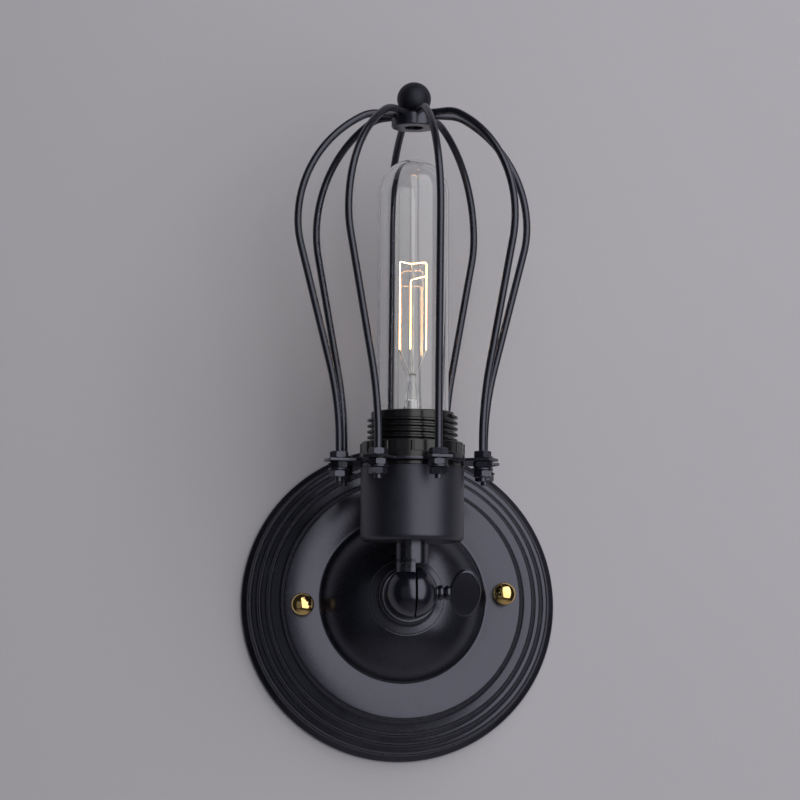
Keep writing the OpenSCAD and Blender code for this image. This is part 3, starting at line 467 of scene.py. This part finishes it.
def cutAway(item, cutter, name):
    modifier = item.modifiers.new("cut", "BOOLEAN")
    modifier.object = cutter
    modifier.solver = "EXACT"
    kept = keptShape(item, name)
    bpy.data.objects.remove(cutter)
    return kept


def softCorners(points, reach, steps=5):
    # a path whose inner corners are bent instead of sharp
    path = [Vector(points[0])]
    for before, here, after in zip(points, points[1:], points[2:]):
        here = Vector(here)
        start = here + (Vector(before) - here).normalized() * reach
        stop = here + (Vector(after) - here).normalized() * reach
        for step in range(steps + 1):
            part = step / steps
            path.append(start.lerp(here, part).lerp(here.lerp(stop, part), part))
    return path + [Vector(points[-1])]


def dress(item, finish, body, *nodes):
    # gives a finished piece its material, its body and the CAD nodes that it stands for
    item.data.materials.clear()
    item.data.materials.append(finishes[finish])
    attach(item, body)
    if nodes:
        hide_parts(*nodes)
    return item


def joined(name, items):
    # one piece from several finished meshes
    work = bmesh.new()
    for item in items:
        work.from_mesh(item.data)
        bpy.data.objects.remove(item)
    mesh = bpy.data.meshes.new(name)
    work.to_mesh(mesh)
    work.free()
    return addObject(name, mesh)


# ---------- canopy

canopy = {"radius": 70, "rimEdge": 1.5, "rimRound": 1.2, "rimSlope": 38,
          "ridges": ((66.4, 9.0), (62.4, 13.6), (58.4, 18.2)), "ridgeSlope": 18, "ridgeRound": 1.9,
          "ridgeFoot": 2.2, "draft": 0.7, "ringOuter": 52.5, "ringCrest": 23.5, "crest": 42.0, "crown": 50.0,
          "ringRound": 1.5, "ringFoot": 3.2, "domeFoot": (36.3, 23.0), "valleyRound": 1.8, "seatRadius": 16.5,
          "seatHeight": 40, "sheet": 1.0, "hole": 5.15}


def degreesTo(start, stop):
    return math.degrees(math.atan2(stop.y - start.y, stop.x - start.x))


def canopySkin():
    # outer skin from the wall in to the seat: sloping rim, three sloping steps, crowned ring, dome
    size = canopy
    fall = math.tan(math.radians(size["rimSlope"]))
    corners = [(size["radius"], 0), (size["radius"], size["rimEdge"], size["rimRound"])]
    outer, floor = size["radius"], size["rimEdge"]
    for radius, height in size["ridges"]:
        foot = radius + size["draft"]
        corners.append((foot, floor + (outer - foot) * fall, size["ridgeFoot"]))
        corners.append((radius, height, size["ridgeRound"]))
        outer, floor = radius, height
        fall = math.tan(math.radians(size["ridgeSlope"]))
    # the ring's rounded edge hangs under its crown, and a hollow runs from it on to the last step
    edge, crown, foot = size["ringRound"], size["crown"], size["ringFoot"]
    spread = size["ringOuter"] - edge - size["crest"]
    crownSpot = Vector((size["crest"], size["ringCrest"] - crown))
    edgeSpot = crownSpot + Vector((spread, math.sqrt((crown - edge) ** 2 - spread ** 2)))
    above = Vector((outer, floor + foot / math.cos(math.radians(size["ridgeSlope"])))) - edgeSpot
    slope = Vector((-1, fall)).normalized()
    along = -above.dot(slope) - math.sqrt((edge + foot) ** 2 - above.length_squared + above.dot(slope) ** 2)
    footSpot = edgeSpot + above + slope * along
    corners.append(footSpot - Vector((fall, 1)).normalized() * foot)
    skin = roundedOutline(corners, 8)
    skin += arcPoints(footSpot, foot, 270 - size["ridgeSlope"], 360 + degreesTo(footSpot, edgeSpot), 8)[1:]
    skin += arcPoints(edgeSpot, edge, degreesTo(edgeSpot, footSpot), degreesTo(crownSpot, edgeSpot), 8)[1:]
    # the hollow between crown and dome
    low, seat = Vector(size["domeFoot"]), Vector((size["seatRadius"], size["seatHeight"]))
    domeSpot = Vector((0, (seat.length_squared - low.length_squared) / (2 * (seat.y - low.y))))
    dome = (seat - domeSpot).length
    hollow = circlesMeet(domeSpot, dome + size["valleyRound"], crownSpot, crown + size["valleyRound"])
    toCrown, toDome = degreesTo(crownSpot, hollow), degreesTo(domeSpot, hollow)
    skin += arcPoints(crownSpot, crown, degreesTo(crownSpot, edgeSpot), toCrown, 16)[1:]
    skin += arcPoints(hollow, size["valleyRound"], toCrown - 180, toDome - 180, 8)[1:]
    skin += arcPoints(domeSpot, dome, toDome, degreesTo(domeSpot, seat), 40)[1:]
    skin.append((size["hole"], size["seatHeight"]))
    return skin


def movedIn(skin, sheet):
    # the skin's inner side: each point goes in by the sheet's thickness, square to the skin
    inner = []
    for index, point in enumerate(skin[1:-1], 1):
        before, after = Vector(skin[index - 1]), Vector(skin[index + 1])
        one, two = (Vector(point) - before).normalized(), (after - Vector(point)).normalized()
        way = (one + two).normalized()
        inner.append((point[0] - way.y * sheet / way.dot(one), point[1] + way.x * sheet / way.dot(one)))
    return [(skin[0][0] - sheet, 0)] + inner + [(skin[-1][0], skin[-1][1] - sheet)]


def makeCanopy():
    outer = canopySkin()
    shell = turned("canopyShell", outer + movedIn(outer, canopy["sheet"])[::-1], wallPlace, around=224)
    return dress(shell, "blackPaint", "root", "canopy")


# ---------- collar, cup, hub and finial

collar = [(5.15, 40), (16.5, 40, 0.2), (16.4, 40.8, 0.5), (12.9, 41.9, 1.0), (12.1, 44, 2.4),
          (12.8, 46.2, 0.6), (12.8, 49.5, 1.8), (7.1, 49.5, 0.2), (7.1, 44), (5.15, 44)]
cup = [(5.15, 21.4), (22.05, 21.4, 2.4), (22.05, 53, 0.15), (21.05, 53), (21.05, 22.6, 1.4), (5.15, 22.6)]
hub = [(0, 202.2), (4, 202.2), (4, 200.2, 0.3), (9.7, 200.2, 0.6), (9.7, 205.4, 0.8), (8.0, 206.6, 0.5),
       (0, 206.6)]
finial = {"radius": 7.35, "centre": 212.8, "foot": 206.6}


def makeRoundParts():
    dress(turned("swivelCollar", roundedOutline(collar), wallPlace), "blackPaint", "root", "collar")
    dress(turned("lampCup", roundedOutline(cup, 8), headPlace), "cupPaint", "head", "socket_cup")
    dress(turned("cageHub", roundedOutline(hub), headPlace, 96), "blackPaint", "head", "cage_hub")
    low = math.degrees(math.asin((finial["foot"] - finial["centre"]) / finial["radius"]))
    ball = toAxis(arcPoints((0, finial["centre"]), finial["radius"], low, 90, 48))
    dress(turned("topBall", [(0, finial["foot"])] + ball, headPlace, 96), "finialPaint", "head", "finial")


# ---------- swivel ball and wing screw

pivot = {"ball": 11.05, "clear": 11.4, "headFace": 0.8, "baseFace": 1.2, "pole": 10.35, "edge": 0.5,
         "stem": 7.05, "stemFoot": 11.5, "stemTop": 21.4, "stemRound": 1.2, "rootFoot": 4, "rootTop": 14,
         "neckEnd": 18.0, "beyond": 20}
wing = {"halfWide": 6.8, "halfHigh": 10.7, "thick": 2.4, "turn": 24.0, "endRound": 4.9, "edge": 1.05,
        "dish": 0.25, "dishSteps": ((0.5, 0.12), (1.4, 0.6), (2.6, 1.0)), "beadWide": 3.2,
        "beads": ((3.3, 10.75), (3.15, 13.85)), "screw": 2.5, "screwStart": -7.85, "screwEnd": 11.5,
        "screwRound": 0.2, "middle": 22.75}
sideways = Matrix.Rotation(math.radians(90), 4, "Y")  # stands a turned piece's axis along the pivot screw


def ballHalf(face, side):
    # outline of a half ball whose flat lies at face and whose pole looks to side
    size = pivot
    ball, edge = size["ball"], size["edge"]
    inner = face + side * edge
    rim = Vector((math.sqrt((ball - edge) ** 2 - inner ** 2), inner))
    lean = math.degrees(math.atan2(rim.y, rim.x))
    outline = [(0, face)] + arcPoints(rim, edge, -90 * side, lean, 6)
    pole = math.degrees(math.asin(size["pole"] / ball)) if side > 0 else -90
    outline += arcPoints((0, 0), ball, lean, pole, 40)[1:]
    return outline + [(0, size["pole"])] if side > 0 else toAxis(outline)


def clearance(face, side, place):
    # the room that one half keeps clear for the other half's ball
    size = pivot
    rim = math.degrees(math.asin(face / size["clear"]))
    outline = toAxis(arcPoints((0, 0), size["clear"], rim, 90 * side, 32))
    return turned("clearance", [(0, face)] + outline, place @ sideways, 96)


def makeSwivel():
    size = pivot
    basePlace = Matrix.Translation(swivel)
    stem = [(0, size["stemFoot"]), (size["stem"], size["stemFoot"], size["stemRound"]),
            (size["stem"], size["stemTop"]), (0, size["stemTop"])]
    stem = turned("stem", roundedOutline(stem, 8), headPlace)
    # on the side of its own half ball the stem runs down into the ball
    root = rod("root", size["stem"], size["rootFoot"], size["rootTop"], headPlace)
    face = rod("face", size["beyond"], size["headFace"], size["beyond"], headPlace @ sideways)
    root = cutAway(root, face, "root")
    half = turned("half", ballHalf(size["headFace"], -1), headPlace @ sideways)
    dress(joined("swivelHead", [stem, root, half]), "swivelPaint", "head", "swivel_head")
    neckPlace = basePlace @ Matrix.Rotation(math.radians(-90), 4, "X")
    neck = rod("neck", size["stem"], size["rootFoot"], size["neckEnd"], neckPlace)
    neck = cutAway(neck, clearance(size["baseFace"], -1, basePlace), "neck")
    half = turned("half", ballHalf(size["baseFace"], 1), basePlace @ sideways)
    dress(joined("swivelBase", [neck, half]), "swivelPaint", "root", "swivel_base")


def ovalOutline():
    # points of the wing's outline with the way out at each, from four arcs that run into each other
    size = wing
    up = size["halfHigh"] - size["endRound"]
    rest = size["halfWide"] - size["endRound"]
    apart = (up * up - rest * rest) / (2 * rest)
    lean = math.degrees(math.atan2(up, apart))
    arcs = [((-apart, 0), size["halfWide"] + apart, -lean, lean),
            ((0, up), size["endRound"], lean, 180 - lean),
            ((apart, 0), size["halfWide"] + apart, 180 - lean, 180 + lean),
            ((0, -up), size["endRound"], 180 + lean, 360 - lean)]
    outline = []
    for centre, radius, start, stop in arcs:
        for point in arcPoints(centre, radius, start, stop, 16)[:-1]:
            out = (Vector(point) - Vector(centre)).normalized()
            outline.append((Vector(point), out))
    return outline


def makeWing():
    size = wing
    half, edge = size["thick"] / 2, size["edge"]
    steps = [(edge * (1 - math.cos(math.radians(turn))), half - edge + edge * math.sin(math.radians(turn)))
             for turn in range(0, 91, 15)]
    steps += [(edge + inset, half - share * size["dish"]) for inset, share in size["dishSteps"]]
    rings = []
    for inset, depth in [(inset, -depth) for inset, depth in reversed(steps)] + steps:
        rings.append([(size["middle"] + point.x - out.x * inset, depth, point.y - out.y * inset)
                      for point, out in ovalOutline()])
    place = headPlace @ Matrix.Rotation(math.radians(size["turn"]), 4, "X")
    parts = [stacked("blade", rings, place)]
    for radius, start in size["beads"]:
        bulge = size["beadWide"] / 2
        outline = [(0, start)] + arcPoints((radius - bulge, start + bulge), bulge, -90, 90, 16)
        parts.append(turned("bead", outline + [(0, start + size["beadWide"])], place @ sideways, 64))
    shaft = [(0, size["screwStart"]), (size["screw"], size["screwStart"], size["screwRound"]),
             (size["screw"], size["screwEnd"]), (0, size["screwEnd"])]
    parts.append(turned("shaft", roundedOutline(shaft), place @ sideways, 48))
    dress(joined("wingScrew", parts), "swivelPaint", "wing", "wing_screw")


# ---------- geometry node trees

def newTree(name, inputs):
    # a geometry node tree with named inputs, listed by their kind, and the bench to build it on
    tree = bpy.data.node_groups.new(name, "GeometryNodeTree")
    sockets = [("Geometry", "Geometry"), ("Finish", "Material")]
    sockets += [(label, kind) for kind, labels in inputs.items() for label in labels]
    for label, kind in sockets:
        tree.interface.new_socket(name=label, in_out="INPUT", socket_type="NodeSocket" + kind)
    tree.interface.new_socket(name="Geometry", in_out="OUTPUT", socket_type="NodeSocketGeometry")
    bench = Bench(tree)
    entry = tree.nodes.new("NodeGroupInput")
    pins = {socket.name: Pin(bench, socket) for socket in entry.outputs if socket.name}
    return tree, bench, pins


def finishTree(bench, shape, material):
    whole = bench.add("GeometryNodeRealizeInstances", sockets={"Geometry": shape})
    coated = bench.add("GeometryNodeSetMaterial", sockets={"Geometry": whole, "Material": material})
    bench.add("NodeGroupOutput", sockets={"Geometry": coated})


def grow(item, tree, values, name, sharp=35.0):
    # runs a tree on an object and keeps the result as a plain mesh
    modifier = item.modifiers.new(tree.name, "NODES")
    modifier.node_group = tree
    for socket in tree.interface.items_tree:
        if socket.in_out == "INPUT" and socket.name in values:
            modifier[socket.identifier] = values[socket.name]
    return keptShape(item, name, sharp)


def drawnWireTree():
    # a round wire along the object's own curve
    tree, bench, pins = newTree("drawnWire", {"Float": ["Wire radius"], "Int": ["Sides"]})
    sockets = {"Resolution": pins["Sides"], "Radius": pins["Wire radius"]}
    profile = bench.add("GeometryNodeCurvePrimitiveCircle", sockets=sockets)
    sockets = {"Curve": pins["Geometry"], "Profile Curve": profile, "Fill Caps": True}
    finishTree(bench, bench.add("GeometryNodeCurveToMesh", sockets=sockets), pins["Finish"])
    return tree


def ringOfTree():
    # copies of one shape set round a circle, each turned to face outwards
    inputs = {"Object": ["Shape"], "Int": ["Count"],
              "Float": ["Circle radius", "First angle", "Own turn", "Loose turn"]}
    tree, bench, pins = newTree("ringOf", inputs)
    index = bench.add("GeometryNodeInputIndex")
    angle = pins["First angle"] + index * (2 * math.pi) / pins["Count"]
    points = bench.add("GeometryNodePoints", sockets={"Count": pins["Count"]})
    east = bench.add("ShaderNodeMath", {"operation": "COSINE"}, {0: angle}) * pins["Circle radius"]
    north = bench.add("ShaderNodeMath", {"operation": "SINE"}, {0: angle}) * pins["Circle radius"]
    spot = bench.add("ShaderNodeCombineXYZ", sockets={"X": east, "Y": north})
    points = bench.add("GeometryNodeSetPosition", sockets={"Geometry": points, "Position": spot})
    sockets = {2: -1.0, 3: 1.0, "ID": index, "Seed": 7}
    chance = bench.add("FunctionNodeRandomValue", {"data_type": "FLOAT"}, sockets, out=1)
    turn = angle + pins["Own turn"] + chance * pins["Loose turn"]
    turn = bench.add("ShaderNodeCombineXYZ", sockets={"Z": turn})
    shape = bench.add("GeometryNodeObjectInfo", sockets={"Object": pins["Shape"]}, out=4)
    sockets = {"Points": points, "Instance": shape, "Rotation": turn}
    copies = bench.add("GeometryNodeInstanceOnPoints", sockets=sockets)
    finishTree(bench, copies, pins["Finish"])
    return tree


def helixTree():
    # a thread crest wound round the local Z axis
    inputs = {"Float": ["Turns", "Thread radius", "Climb", "Crest width", "Root width", "Crest height"]}
    tree, bench, pins = newTree("threadHelix", inputs)
    sockets = {"Resolution": 72, "Rotations": pins["Turns"], "Start Radius": pins["Thread radius"],
               "End Radius": pins["Thread radius"], "Height": pins["Climb"]}
    coil = bench.add("GeometryNodeCurveSpiral", sockets=sockets)
    coil = bench.add("GeometryNodeSetCurveNormal", {"mode": "Z_UP"}, {"Curve": coil})
    sockets = {"Height": pins["Crest height"], "Bottom Width": pins["Root width"],
               "Top Width": pins["Crest width"], "Offset": 0.0}
    profile = bench.add("GeometryNodeCurvePrimitiveQuadrilateral", {"mode": "TRAPEZOID"}, sockets)
    quarter = bench.add("ShaderNodeCombineXYZ", sockets={"Z": math.pi / 2})
    profile = bench.add("GeometryNodeTransform", sockets={"Geometry": profile, "Rotation": quarter})
    sockets = {"Curve": coil, "Profile Curve": profile, "Fill Caps": True}
    finishTree(bench, bench.add("GeometryNodeCurveToMesh", sockets=sockets), pins["Finish"])
    return tree


trees = {"drawnWire": drawnWireTree(), "ringOf": ringOfTree(), "threadHelix": helixTree()}


def emptyItem(name):
    return addObject(name, bpy.data.meshes.new(name))


def pathCurve(name, points):
    data = bpy.data.curves.new(name, "CURVE")
    data.dimensions = "3D"
    spline = data.splines.new("POLY")
    spline.points.add(len(points) - 1)
    for spot, point in zip(spline.points, points):
        spot.co = (*point, 1)
    return addObject(name, data)


def drawnWire(name, points, radius, finish, sides=20):
    values = {"Wire radius": radius * mm, "Sides": sides, "Finish": finishes[finish]}
    return grow(pathCurve(name, points), trees["drawnWire"], values, name, 60.0)


print("node trees made:", len(trees))


# ---------- cage

cage = {"wire": 1.6, "earRadius": 32.8, "bellyRadius": 50.5, "bellyHeight": 158.4, "crownHeight": 206.0,
        "shoulderBend": 15.0, "crownBend": 52.0, "bellyBend": 45.0, "waistBend": 140.0, "taper": 14.0,
        "hubTurn": 7.0, "earTurn": 6.5, "wireFoot": 46.3, "innerEnd": 5.5, "count": 8}


def wirePath(number):
    # centre line of one cage wire, from its foot up to the hub, in the head's own place
    size = cage
    angle = math.radians(size["hubTurn"] + 360 * number / size["count"])
    out = Vector((math.sin(angle), -math.cos(angle), 0))
    side = Vector((math.cos(angle), math.sin(angle), 0))
    lead = math.radians(size["earTurn"])
    ear = (size["earRadius"] * math.cos(lead), size["earRadius"] * math.sin(lead))
    back = size["bellyRadius"] - ear[0]
    runIn = math.hypot(back, ear[1])
    tilt = math.radians(size["taper"])
    bends = size["bellyBend"] + size["waistBend"]
    straight = (runIn - bends * (1 - math.cos(tilt))) / math.sin(tilt)
    waist = size["bellyHeight"] - bends * math.sin(tilt) - straight * math.cos(tilt)
    lower = [(runIn, size["wireFoot"] + step * (waist - size["wireFoot"]) / 6) for step in range(6)]
    lower += [(runIn - size["waistBend"] * (1 - math.cos(tilt * step / 8)),
               waist + size["waistBend"] * math.sin(tilt * step / 8)) for step in range(9)]
    lower += [(size["bellyBend"] * (1 - math.cos(tilt * step / 8)),
               size["bellyHeight"] - size["bellyBend"] * math.sin(tilt * step / 8))
              for step in range(8, 0, -1)]
    points = []
    for inward, height in lower:
        radial = size["bellyRadius"] - back * inward / runIn
        points.append(out * radial + side * (ear[1] * inward / runIn) + Vector((0, 0, height)))
    spread = size["crownBend"] - size["shoulderBend"]
    rise = size["crownHeight"] - size["bellyHeight"] - size["shoulderBend"]
    turn = math.degrees(math.asin(rise / spread))
    middle = size["bellyRadius"] - size["crownBend"]
    upper = arcPoints((middle, size["bellyHeight"]), size["crownBend"], 0, turn, 18)
    shoulder = (middle + spread * math.cos(math.radians(turn)), size["bellyHeight"] + rise)
    upper += arcPoints(shoulder, size["shoulderBend"], turn, 90, 8)[1:]
    upper.append((size["innerEnd"], size["crownHeight"]))
    points += [out * radial + Vector((0, 0, height)) for radial, height in upper]
    return [headPlace @ (point * mm) for point in points]


def makeCage():
    for number in range(cage["count"]):
        wire = drawnWire(f"cageWire{number + 1}", wirePath(number), cage["wire"], "blackPaint", 24)
        dress(wire, "blackPaint", "head", f"cage_wire_{number + 1}")
    print("cage wires drawn:", cage["count"])


# ---------- lampholder, ring nut, nuts and cap nuts

holder = {"threadRoot": 17.7, "threadCrest": 19.4, "threadTop": 73.7, "pitch": 2.45, "turns": 7.1,
          "crestWide": 0.6, "rootWide": 1.9}
holderSkin = [(2, 42.15), (18.85, 42.15, 0.3), (18.85, 53), (22.05, 53, 0.2), (22.05, 54.8, 0.4),
              (17.8, 54.8, 0.2), (17.8, 76.7, 0.6), (16, 76.7, 0.4), (16, 65.7, 0.3), (13.85, 65.7, 0.3),
              (13.85, 45.15), (2, 45.15)]
ringNut = {"outline": [(19.6, 56), (22.5, 56, 0.25), (22.5, 58.8, 0.35), (21.8, 58.8, 0.2), (21.8, 63.7, 0.5),
                       (19.6, 63.7, 0.4)],
           "ribs": 12, "ribTurn": 84.5, "ribFoot": 58.6, "ribTop": 63.2, "ribIn": 21.0, "ribOut": 22.4,
           "ribHalf": 0.7, "ribTaper": 0.6, "ribEdge": ((0.35, 0), (0.1, 0.12), (0, 0.4)),
           "ribNose": ((0.35, 1), (0.1, 0.72), (0, 0.3))}
wireNuts = {"flats": 3.5, "corner": 0.45, "coneStart": 0.95, "coneReach": 0.72, "height": 3.0, "hole": 1.65,
            "first": -76.5, "loose": 9, "circle": 32.8,
            "rows": (("upperNuts", "upper_nuts", 56.0, 0.0), ("lowerNuts", "lower_nuts", 51.8, 12.0),
                     ("lockNuts", "lock_nuts", 48.0, -9.0)),
            "washer": [(1.65, 51.0), (4.5, 51.0, 0.2), (4.5, 51.8, 0.2), (1.65, 51.8)]}
capNut = {"ring": 23.5, "foot": 4.0, "edge": 2.0, "edgeHeight": 28.2, "edgeStart": -60, "edgeEnd": 45,
          "radius": 5.0, "out": 44.3, "turn": 3.4}
footPlate = {"edge": 0.22, "steps": 3, "corner": 50}


def ringOf(name, shape, values, finish, place):
    # runs the ring tree with one shape, and sets the ring in its place
    values = {"Shape": shape, "Finish": finishes[finish], **values}
    ring = grow(emptyItem(name), trees["ringOf"], values, name)
    bpy.data.objects.remove(shape)
    ring.data.transform(place)
    return ring


def makeHolder():
    size = holder
    body = turned("holderSkin", roundedOutline(holderSkin), headPlace)
    depth = size["threadCrest"] - size["threadRoot"]
    values = {"Turns": size["turns"], "Thread radius": (size["threadRoot"] + depth / 2) * mm,
              "Climb": size["turns"] * size["pitch"] * mm, "Crest width": size["crestWide"] * mm,
              "Root width": size["rootWide"] * mm, "Crest height": depth * mm, "Finish": finishes["bakelite"]}
    coil = grow(emptyItem("coil"), trees["threadHelix"], values, "coil")
    start = size["threadTop"] - (math.floor(size["turns"]) - 0.25) * size["pitch"]
    coil.data.transform(headPlace @ Matrix.Translation((0, 0, start * mm)))
    dress(joined("lampHolder", [body, coil]), "bakelite", "head", "holder_body")


def makeRingNut():
    size = ringNut
    rings = []
    levels = [(size["ribFoot"], 0)] + [(size["ribTop"] - drop, shrink) for drop, shrink in size["ribEdge"]]
    for height, shrink in levels:
        half, out = size["ribHalf"] - shrink * size["ribTaper"], size["ribOut"] - shrink
        side = [(size["ribIn"], half)] + [(out - inset, half * share) for inset, share in size["ribNose"]]
        rings.append([(along, -across, height) for along, across in side]
                     + [(along, across, height) for along, across in reversed(side)])
    rib = stacked("rib", rings, Matrix.Identity(4), 50.0)
    values = {"Count": size["ribs"], "First angle": math.radians(size["ribTurn"])}
    ribs = ringOf("ribs", rib, values, "bakelite", headPlace)
    body = turned("nutBody", roundedOutline(size["outline"]), headPlace)
    dress(joined("ringNut", [body, ribs]), "bakelite", "head", "ring_nut")


def hexNut():
    # hexagon nut with its corners turned down at both ends
    size = wireNuts
    heights = [size["corner"] * step / 4 for step in range(5)]
    heights += [size["height"] - height for height in reversed(heights)]
    ways = [(turn, math.cos(math.radians(turn)), math.sin(math.radians(turn))) for turn in range(0, 360, 6)]
    rings = []
    for height in heights:
        inside = min(height, size["height"] - height)
        cone = size["flats"] * size["coneStart"] + inside * size["coneReach"] / size["corner"]
        ring = []
        for turn, east, north in ways:
            reach = min(cone, size["flats"] / math.cos(math.radians(turn % 60 - 30)))
            ring.append((reach * east, reach * north, height))
        rings.append(ring)
    for height in (size["height"], 0):
        rings.append([(size["hole"] * east, size["hole"] * north, height) for turn, east, north in ways])
    return stacked("nut", rings, Matrix.Identity(4), 25.0, hollow=True)


def makeWireNuts():
    size = wireNuts
    values = {"Count": cage["count"], "Circle radius": size["circle"] * mm,
              "First angle": math.radians(size["first"])}
    for name, node, height, own in size["rows"]:
        place = headPlace @ Matrix.Translation((0, 0, height * mm))
        turns = {"Own turn": math.radians(own), "Loose turn": math.radians(size["loose"])}
        dress(ringOf(name, hexNut(), {**values, **turns}, "blackPaint", place), "blackPaint", "head", node)
    washer = turned("washer", roundedOutline(size["washer"], 3), Matrix.Identity(4), 40)
    dress(ringOf("earWashers", washer, values, "blackPaint", headPlace), "blackPaint", "head", "ear_washers")


def makeCapNuts():
    # a low dome that turns into its foot over a rounder edge
    size = capNut
    edge = Vector((size["radius"] - size["edge"], size["edgeHeight"]))
    outline = [(0, size["ring"]), (size["foot"], size["ring"])]
    outline += arcPoints(edge, size["edge"], size["edgeStart"], size["edgeEnd"], 20)
    lean = math.radians(size["edgeEnd"])
    dome = (0, edge.y - edge.x * math.tan(lean))
    outline += arcPoints(dome, edge.x / math.cos(lean) + size["edge"], size["edgeEnd"], 90, 28)[1:]
    turn = math.radians(size["turn"])
    parts = []
    for side in (-1, 1):
        spot = Vector((math.cos(turn), math.sin(turn), 0)) * size["out"] * side * mm
        parts.append(turned("capNut", toAxis(outline), wallPlace @ Matrix.Translation(spot), 96, 50.0))
    dress(joined("capNuts", parts), "brass", "root", "cap_nuts")


def makeFootPlate():
    # a copy of the stamped plate with its edges broken
    size = footPlate
    stamped = frame["nodes"]["cage_foot"]
    plate = addObject("footPlate", stamped.data.copy())
    plate.matrix_world = stamped.matrix_world
    work = bmesh.new()
    work.from_mesh(plate.data)
    bmesh.ops.remove_doubles(work, verts=work.verts, dist=1e-6)
    bmesh.ops.dissolve_limit(work, angle_limit=math.radians(1), verts=work.verts, edges=work.edges)
    work.to_mesh(plate.data)
    work.free()
    modifier = plate.modifiers.new("edge", "BEVEL")
    modifier.width = size["edge"] * mm
    modifier.segments = size["steps"]
    modifier.limit_method = "ANGLE"
    modifier.angle_limit = math.radians(size["corner"])
    dress(keptShape(plate, "footPlate", 40.0), "blackPaint", "head", "cage_foot")


# ---------- bulb

bulb = {"glass": 15.3, "top": 186.2, "sheet": 0.8, "contact": 46.2, "neck": 11.9, "capHeight": 25.0,
        "shoulder": 4.2, "neckInCap": 6, "play": 0.05}
mount = {"flare": [(9.9, 66.75), (11.05, 66.75, 0.1), (11.05, 67.7, 0.4), (4.0, 77.2, 3.0), (3.2, 85.2, 3.0),
                   (2.1, 90.0)],
         "inside": [(0, 82.2), (2.2, 82.2), (3.1, 77.2), (9.7, 66.75)],
         "button": 91.2, "buttonRadius": 2.4, "buttonStart": -30, "legs": 5.8, "turn": 5.0, "wire": 0.2,
         "bend": 1.1,
         "paths": (((0, 103.7), (0, 141.7), (1, 141.7), (2, 141.7), (2, 103.7)),
                   ((1, 104.7), (1, 134.7), (0, 135.7)))}


def glassSkin(inset):
    # one side of the tube's wall, from its neck inside the cap up to the round top
    size = bulb
    capTop = size["contact"] + size["capHeight"]
    neck, bend = size["neck"] - inset, size["shoulder"] - inset
    centre = (size["glass"] - size["shoulder"], capTop + size["shoulder"] + size["play"])
    start = math.degrees(math.acos(min(1, (neck - centre[0]) / bend)))
    dome = toAxis(arcPoints((0, size["top"] - size["glass"]), size["glass"] - inset, 0, 90, 40))
    return [(neck, capTop - size["neckInCap"])] + arcPoints(centre, bend, -start, 0, 10) + dome


def makeBulb():
    glass = turned("bulbGlass", glassSkin(0) + glassSkin(bulb["sheet"])[::-1], headPlace, around=160)
    dress(glass, "clearGlass", "bulb", "bulb_glass")
    stem = roundedOutline(mount["flare"], 8)
    stem += toAxis(arcPoints((0, mount["button"]), mount["buttonRadius"], mount["buttonStart"], 90, 14))
    dress(turned("glassMount", stem + mount["inside"], headPlace, 64), "clearGlass", "bulb", "lamp_stem")
    wires = []
    for path in mount["paths"]:
        corners = []
        for corner, height in path:
            angle = math.radians(mount["turn"] + 90 * corner)
            out = Vector((math.cos(angle), math.sin(angle), 0))
            corners.append(out * mount["legs"] + Vector((0, 0, height)))
        points = [headPlace @ (point * mm) for point in softCorners(corners, mount["bend"])]
        wires.append(drawnWire("leg", points, mount["wire"], "hotWire", 12))
    dress(joined("glowWire", wires), "hotWire", "bulb", "filament")


# ---------- CAD nodes that keep their own shape

keptFinishes = {
    "bakelite": ["holder_base"],
    "brass": ["earth_screw", "screw_shell", "centre_contact", "bulb_cap"],
    "zinc": ["wall_strap", "strap_studs", "stud_nuts", "terminal_screws", "canopy_tube", "canopy_nut",
             "canopy_washer", "head_tube", "holder_screws", "cap_contact", "lead_wires", "filament_hooks"],
    "whiteNylon": ["terminal_block"],
    "leadCover": ["supply_leads", "head_leads"],
    "capBlack": ["cap_insulator"],
    "swivelPaint": ["wave_washer"]}


def dressNodes():
    for finish, names in keptFinishes.items():
        for name in names:
            node = frame["nodes"][name]
            node.data.materials.clear()
            node.data.materials.append(finishes[finish])


makeCanopy()
makeRoundParts()
print("canopy, collar, cup and hub turned")
makeSwivel()
makeWing()
print("swivel and wing screw made")
makeCapNuts()
makeHolder()
makeRingNut()
makeWireNuts()
makeFootPlate()
print("lampholder, nuts and foot plate made")
makeCage()
makeBulb()
print("bulb blown")
dressNodes()

addCamera()
half = room["wall"] / 2
low, back = room["floorZ"], room["wallBehind"]
wall = flatSheet("wall", [(-half, back, low), (half, back, low), (half, back, low + room["wall"]),
                          (-half, back, low + room["wall"])])
wall.data.materials.append(finishes["wallPaint"])
floor = flatSheet("floor", [(-half, -room["floorDepth"], low), (half, -room["floorDepth"], low),
                            (half, back, low), (-half, back, low)])
floor.data.materials.append(finishes["floorPaint"])
addSoftbox("keySoftbox", **keyLight)
addSoftbox("fillSoftbox", **fillLight)
world = bpy.data.worlds.new("roomLight")
bpy.context.scene.world = world
world.use_nodes = True
world.node_tree.nodes["Background"].inputs["Color"].default_value = roomLight["colour"]
world.node_tree.nodes["Background"].inputs["Strength"].default_value = roomLight["strength"]
bpy.context.scene.view_settings.view_transform = "Standard"
